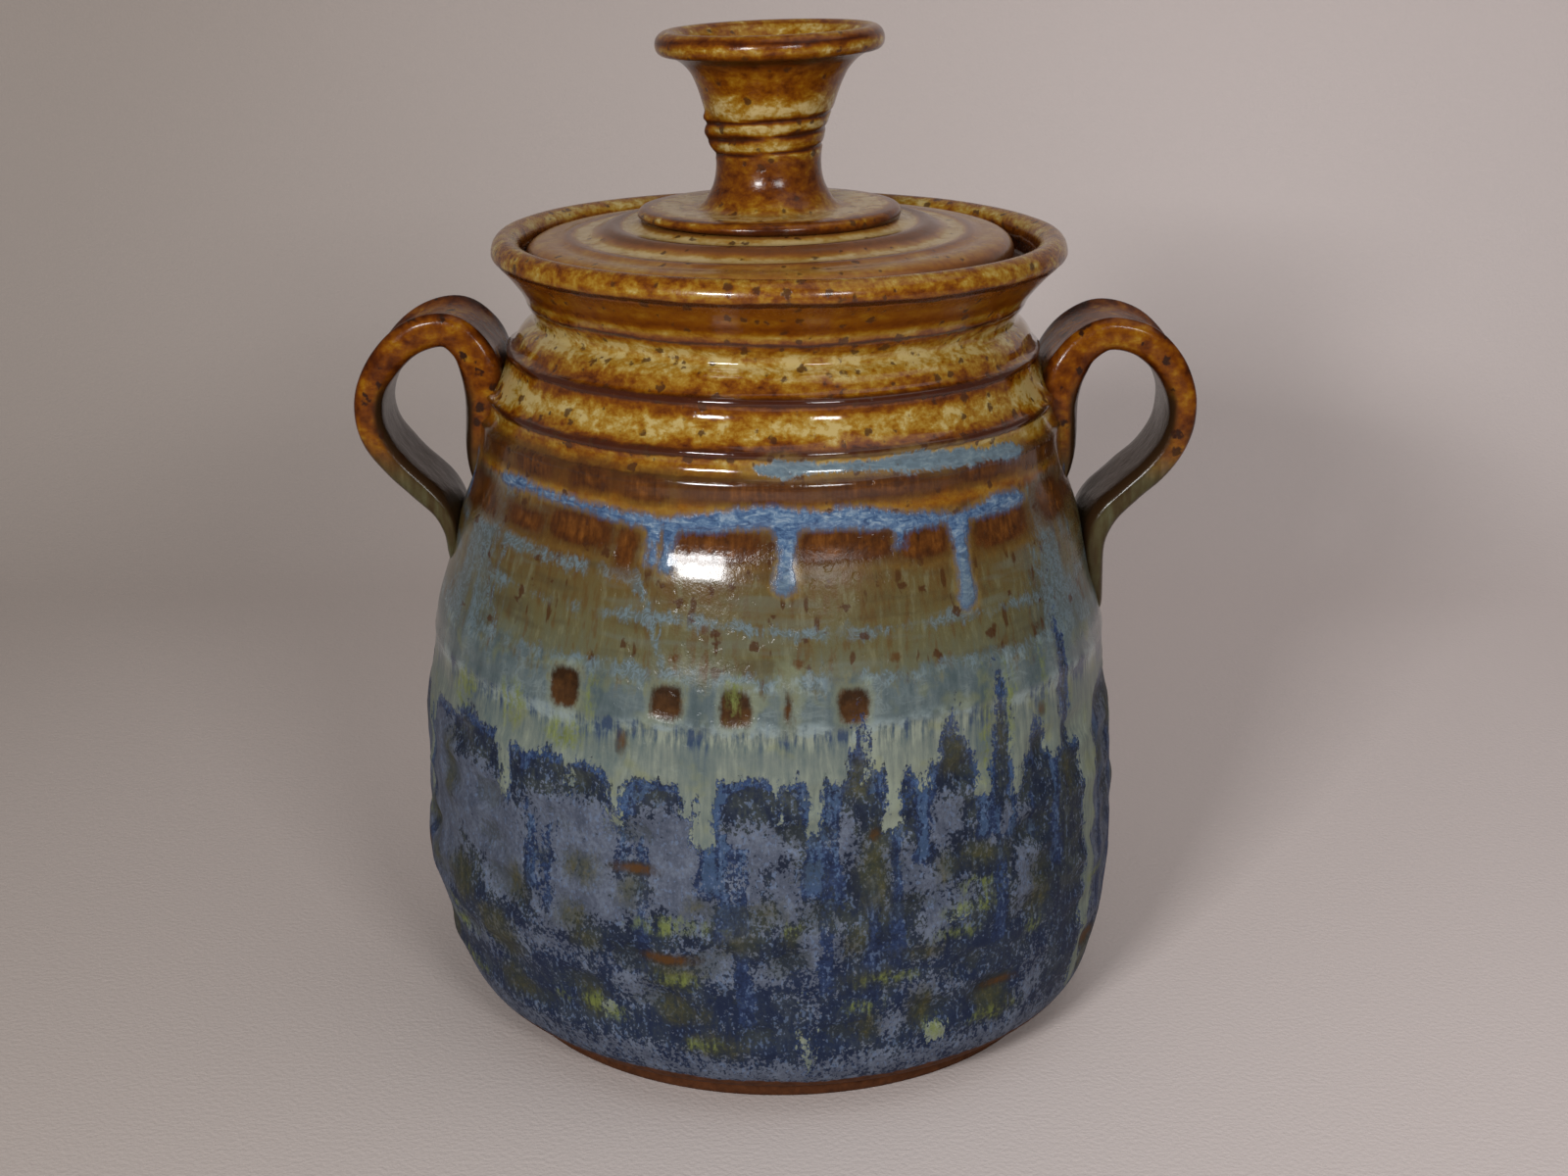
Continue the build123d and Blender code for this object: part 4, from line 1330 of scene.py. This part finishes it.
# %% Vessel glaze: olive, yellow-green and rust that surfaced in the blue
pooled = r.step(r.total(r.field("hollow"), (curds, 1.4), (grains, 0.8)), 0.30, 0.62)
blue_colour = r.tint(blue_colour, (48, 52, 42), pooled, 0.4)
olive = edge(r, "olive", 1.8, 0.6, 2.6)
olive_colour = r.ramp(
    r.total(0.5, (streaks, 0.5), (curds, 1), (salt, 0.7)), (0.22, 40, 46, 40), (0.50, 60, 60, 36),
    (0.80, 82, 76, 34),
)
blue_colour = r.blend(r.times(olive["Mask"], 0.7), blue_colour, olive_colour)
colour = r.blend(r.rest(pour["Mask"]), colour, blue_colour)
edge_blue = r.times(pour["Rim"], r.step(r.sum(grains, curds, 0.6), -0.08, 0.10))
edge_blue = r.times(edge_blue, r.step(r.field("celadon"), 2.0, 0.5))
colour = r.tint(colour, (42, 62, 104), edge_blue, 0.7)
lime = edge(r, "lime", 1.4, 0.6, 1.6)
hatched = r.step(r.total(0.5, (streaks, 1), (curds, 1), (salt, 0.7)), 0.34, 0.66)
lime_colour = r.ramp(r.sum(0.5, streaks, 1.4), (0.25, 74, 82, 36), (0.75, 116, 126, 68))
colour = r.blend(r.times(lime["Mask"], hatched, 0.85), colour, lime_colour)
rust = edge(r, "rust", 0.5, 0.2, 0.5)
low_rust = r.times(rust["Rim"], r.step(height, 106.0, 100.0))
colour = r.tint(colour, (52, 38, 20), low_rust, 0.6)
colour = r.tint(colour, (78, 50, 20), rust["Mask"], 0.9)
r.report("with the surfaced colours")

# %% Vessel glaze: bare foot, inside, and specks
clay_colour = r.ramp(r.sum(0.5, r.stir(2.2, 3), 1.0), (0.25, 62, 33, 16), (0.75, 92, 53, 28))
bare = r.step(r.total(height, (drift, 3), (curds, 2.4)), 10.7, 9.8)
in_room = r.step(r.field("outside"), 0.5, 0.2)
above_floor = r.times(in_room, r.step(height, 9.0, 10.5))
colour = r.blend(above_floor, colour, amber["Colour"])
bare = r.times(bare, r.rest(above_floor))
colour = r.blend(bare, colour, clay_colour)
specks = r.use(speck_group, Spacing=3.3, Amount=0.62)["Speck"]
flecks = r.use(speck_group, Spacing=1.4, Amount=0.34)["Speck"]
flecks = r.times(flecks, r.step(height, 160.0, 166.0))
colour = r.tint(colour, (88, 50, 16), flecks, 0.45)
upper_specks = r.times(specks, r.step(height, 150.0, 156.0))
dots = r.use(speck_group, Spacing=4.4, Amount=0.5)["Speck"]
lower_dots = r.times(dots, r.step(height, 158.0, 150.0), r.step(height, 112.0, 122.0))
spots = r.math("MAXIMUM", upper_specks, lower_dots)
spots = r.times(spots, r.rest(r.times(sky["Mask"], 0.9)))
colour = r.tint(colour, (64, 36, 18), spots, 0.82)
r.report("with foot, inside and specks")

# %% Vessel glaze: gloss and relief
satin = r.step(height, 112.0, 84.0)
satin = r.math("MAXIMUM", satin, r.times(r.step(height, 193.0, 202.0), 0.5))
roughness = r.total(0.07, (satin, 0.40), (grains, 0.10), (r.step(height, 150.0, 143.0), 0.06))
roughness = r.sum(roughness, r.step(height, 126.0, 118.0), 0.08)
at_waist = r.step(r.apart(height, 130.0), 22.0, 15.0)
to_the_right = r.step(from_side, 2.0, 7.0)
dull = r.times(at_waist, r.sum(0.35, to_the_right, 0.65))
roughness = r.sum(roughness, dull, 0.14)
roughness = r.mix(bare, roughness, 0.85)
relief = r.total(r.times(curds, 0.15), (grains, 0.08), (pour["Mask"], 0.5))
relief = r.total(relief, (specks, -0.2), (brown["Mask"], -0.3), (line, 0.7))
relief = r.total(relief, (sky["Mask"], 0.4), (lumps, 0.25))
uncoated = r.math("MAXIMUM", r.math("MAXIMUM", satin, bare), r.times(at_waist, 0.5))
coat = r.times(r.rest(uncoated), 0.62, r.rest(dull))
finish_material(
    body, r, [vessel], colour, roughness, relief, 0.35,
    IOR=1.36, Specular_IOR_Level=0.26, Coat_Weight=coat, Coat_Roughness=0.08,
)

# %% [markdown]
# ## The lid's and knob's glaze
#
# The same amber glaze, with the tone painted in rings: cream where a fingertip left a hollow,
# brown on every crest.  The seat under the lid was wiped clean before the firing.

# %% Material: lid and knob
lid_glaze, r = glaze_material("lid_glaze")
amber = r.use(amber_group, Tone=r.field("tone"), Curdle=r.field("curdle"))
specks = r.use(speck_group, Spacing=3.3, Amount=0.50)["Speck"]
flecks = r.use(speck_group, Spacing=1.4, Amount=0.30)["Speck"]
thick_cream = r.step(r.sum(amber["Thickness"], r.stir(4, 3), 0.5), 0.72, 1.05)
colour = r.tint(amber["Colour"], (188, 166, 118), thick_cream, 0.6)
# Painted reflection: a tan haze over the lid's top and the knob's disc, standing in for the bright room
# above.
colour = r.tint(colour, (176, 132, 94), r.field("painted_haze"), 0.14)
colour = r.tint(colour, (88, 50, 16), flecks, 0.4)
colour = r.tint(colour, (64, 36, 18), specks, 0.82)
clay = r.ramp(r.sum(0.5, r.stir(2.2, 3), 1.0), (0.3, 108, 76, 54), (0.7, 140, 102, 76))
colour = r.blend(r.field("bare"), colour, clay)
grains = r.stir(0.9, 3, 1, 0.65)
roughness = r.mix(r.field("bare"), r.sum(0.20, grains, 0.2), 0.85)
relief = r.total(r.times(amber["Thickness"], 0.25), (grains, 0.2), (specks, -0.2))
finish_material(
    lid_glaze, r, [lid, knob], colour, roughness, relief, 0.30,
    IOR=1.26, Coat_Weight=0.16, Coat_Roughness=0.10,
)

# %% [markdown]
# ## The handles' glaze
#
# Each strap was dipped with the vessel: amber brown on top, dark where it thins over the rims,
# and olive grey where the celadon reached its lower half.

# %% Material: handles
handle_glaze, r = glaze_material("handle_glaze")
height = r.millimetres("Z")
drift = r.stir(11, 3)
streaks = r.stir(3, 3, 0.25, 0.6)
curds = r.stir(3, 2)
amber_tone = r.total(0.38, (drift, 0.9), (r.field("rim"), -0.34), (curds, 0.7))
amber = r.use(amber_group, Tone=amber_tone, Curdle=0.7)
cool = r.ramp(
    r.total(0.5, (streaks, 1.3), (drift, 0.8)), (0.15, 50, 34, 18), (0.40, 62, 50, 28),
    (0.62, 72, 66, 42), (0.85, 88, 88, 68),
)
cool = r.tint(cool, (66, 36, 16), r.field("rim"), 0.75)
cool_share = r.step(r.total(height, (drift, 22), (streaks, 10)), 162.0, 145.0)
colour = r.blend(cool_share, amber["Colour"], cool)
# Painted shade: the inner face of each strap, towards the wall, is darkened on its upper part.
colour = r.tint(colour, (46, 30, 16), r.field("shaded_inner_face"), r.step(height, 176.0, 166.0))
specks = r.use(speck_group, Spacing=4.2, Amount=0.62)["Speck"]
colour = r.tint(colour, (46, 24, 12), specks, r.step(height, 140.0, 158.0))
grains = r.stir(0.9, 3, 1, 0.65)
relief = r.total(r.times(drift, 1.2), (grains, 0.2), (curds, 0.5))
finish_material(
    handle_glaze, r, straps.values(), colour, r.sum(0.22, grains, 0.2), relief, 0.30,
    IOR=1.16, Coat_Weight=0.14, Coat_Roughness=0.10,
)

# %% [markdown]
# ## The cloth
#
# The cloth is a plain warm grey, with painted light that makes it paler on the right.  A touch of
# noise in its colour and roughness keeps it from looking like plastic.  It is one-sided: a camera
# that meets its back looks through it, so the crock can be seen from behind.

# %% Material: cloth
cloth_grey, r = glaze_material("cloth_grey")
side = r.millimetres("X")
# Painted light: the cloth's colour grows paler towards the right, as if more light fell there.
painted_light = r.step(r.sum(side, r.stir(300, 1), 160.0), -420.0, 320.0)
colour = r.tint(fired(181, 169, 161), (222, 210, 206), painted_light)
weave = r.stir(1.4, 2)
finish_material(cloth_grey, r, [cloth], colour, r.sum(0.87, weave, 0.15), weave, 0.2)
from_behind = r.node("ShaderNodeNewGeometry").outputs["Backfacing"]
see_through = r.node("ShaderNodeBsdfTransparent")
woven = cloth_grey.node_tree.nodes["Principled BSDF"].outputs[0]
one_sided = r.node("ShaderNodeMixShader", {0: from_behind, 1: woven, 2: see_through.outputs[0]})
r.fill(cloth_grey.node_tree.nodes["Material Output"].inputs, {"Surface": one_sided.outputs[0]})

# %% [markdown]
# ## Sizes, and the end
#
# The visual model is meant to fill the same box as the imported one, so both boxes are printed
# at the end.

# %% Print both boxes and finish
sizes = {"cad": [list(corner) for corner in cad_box], "visual": [list(corner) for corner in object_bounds()]}
for name, (low, high) in sizes.items():
    print(name, "box in mm:", [round((b - a) / MM, 1) for a, b in zip(low, high)])
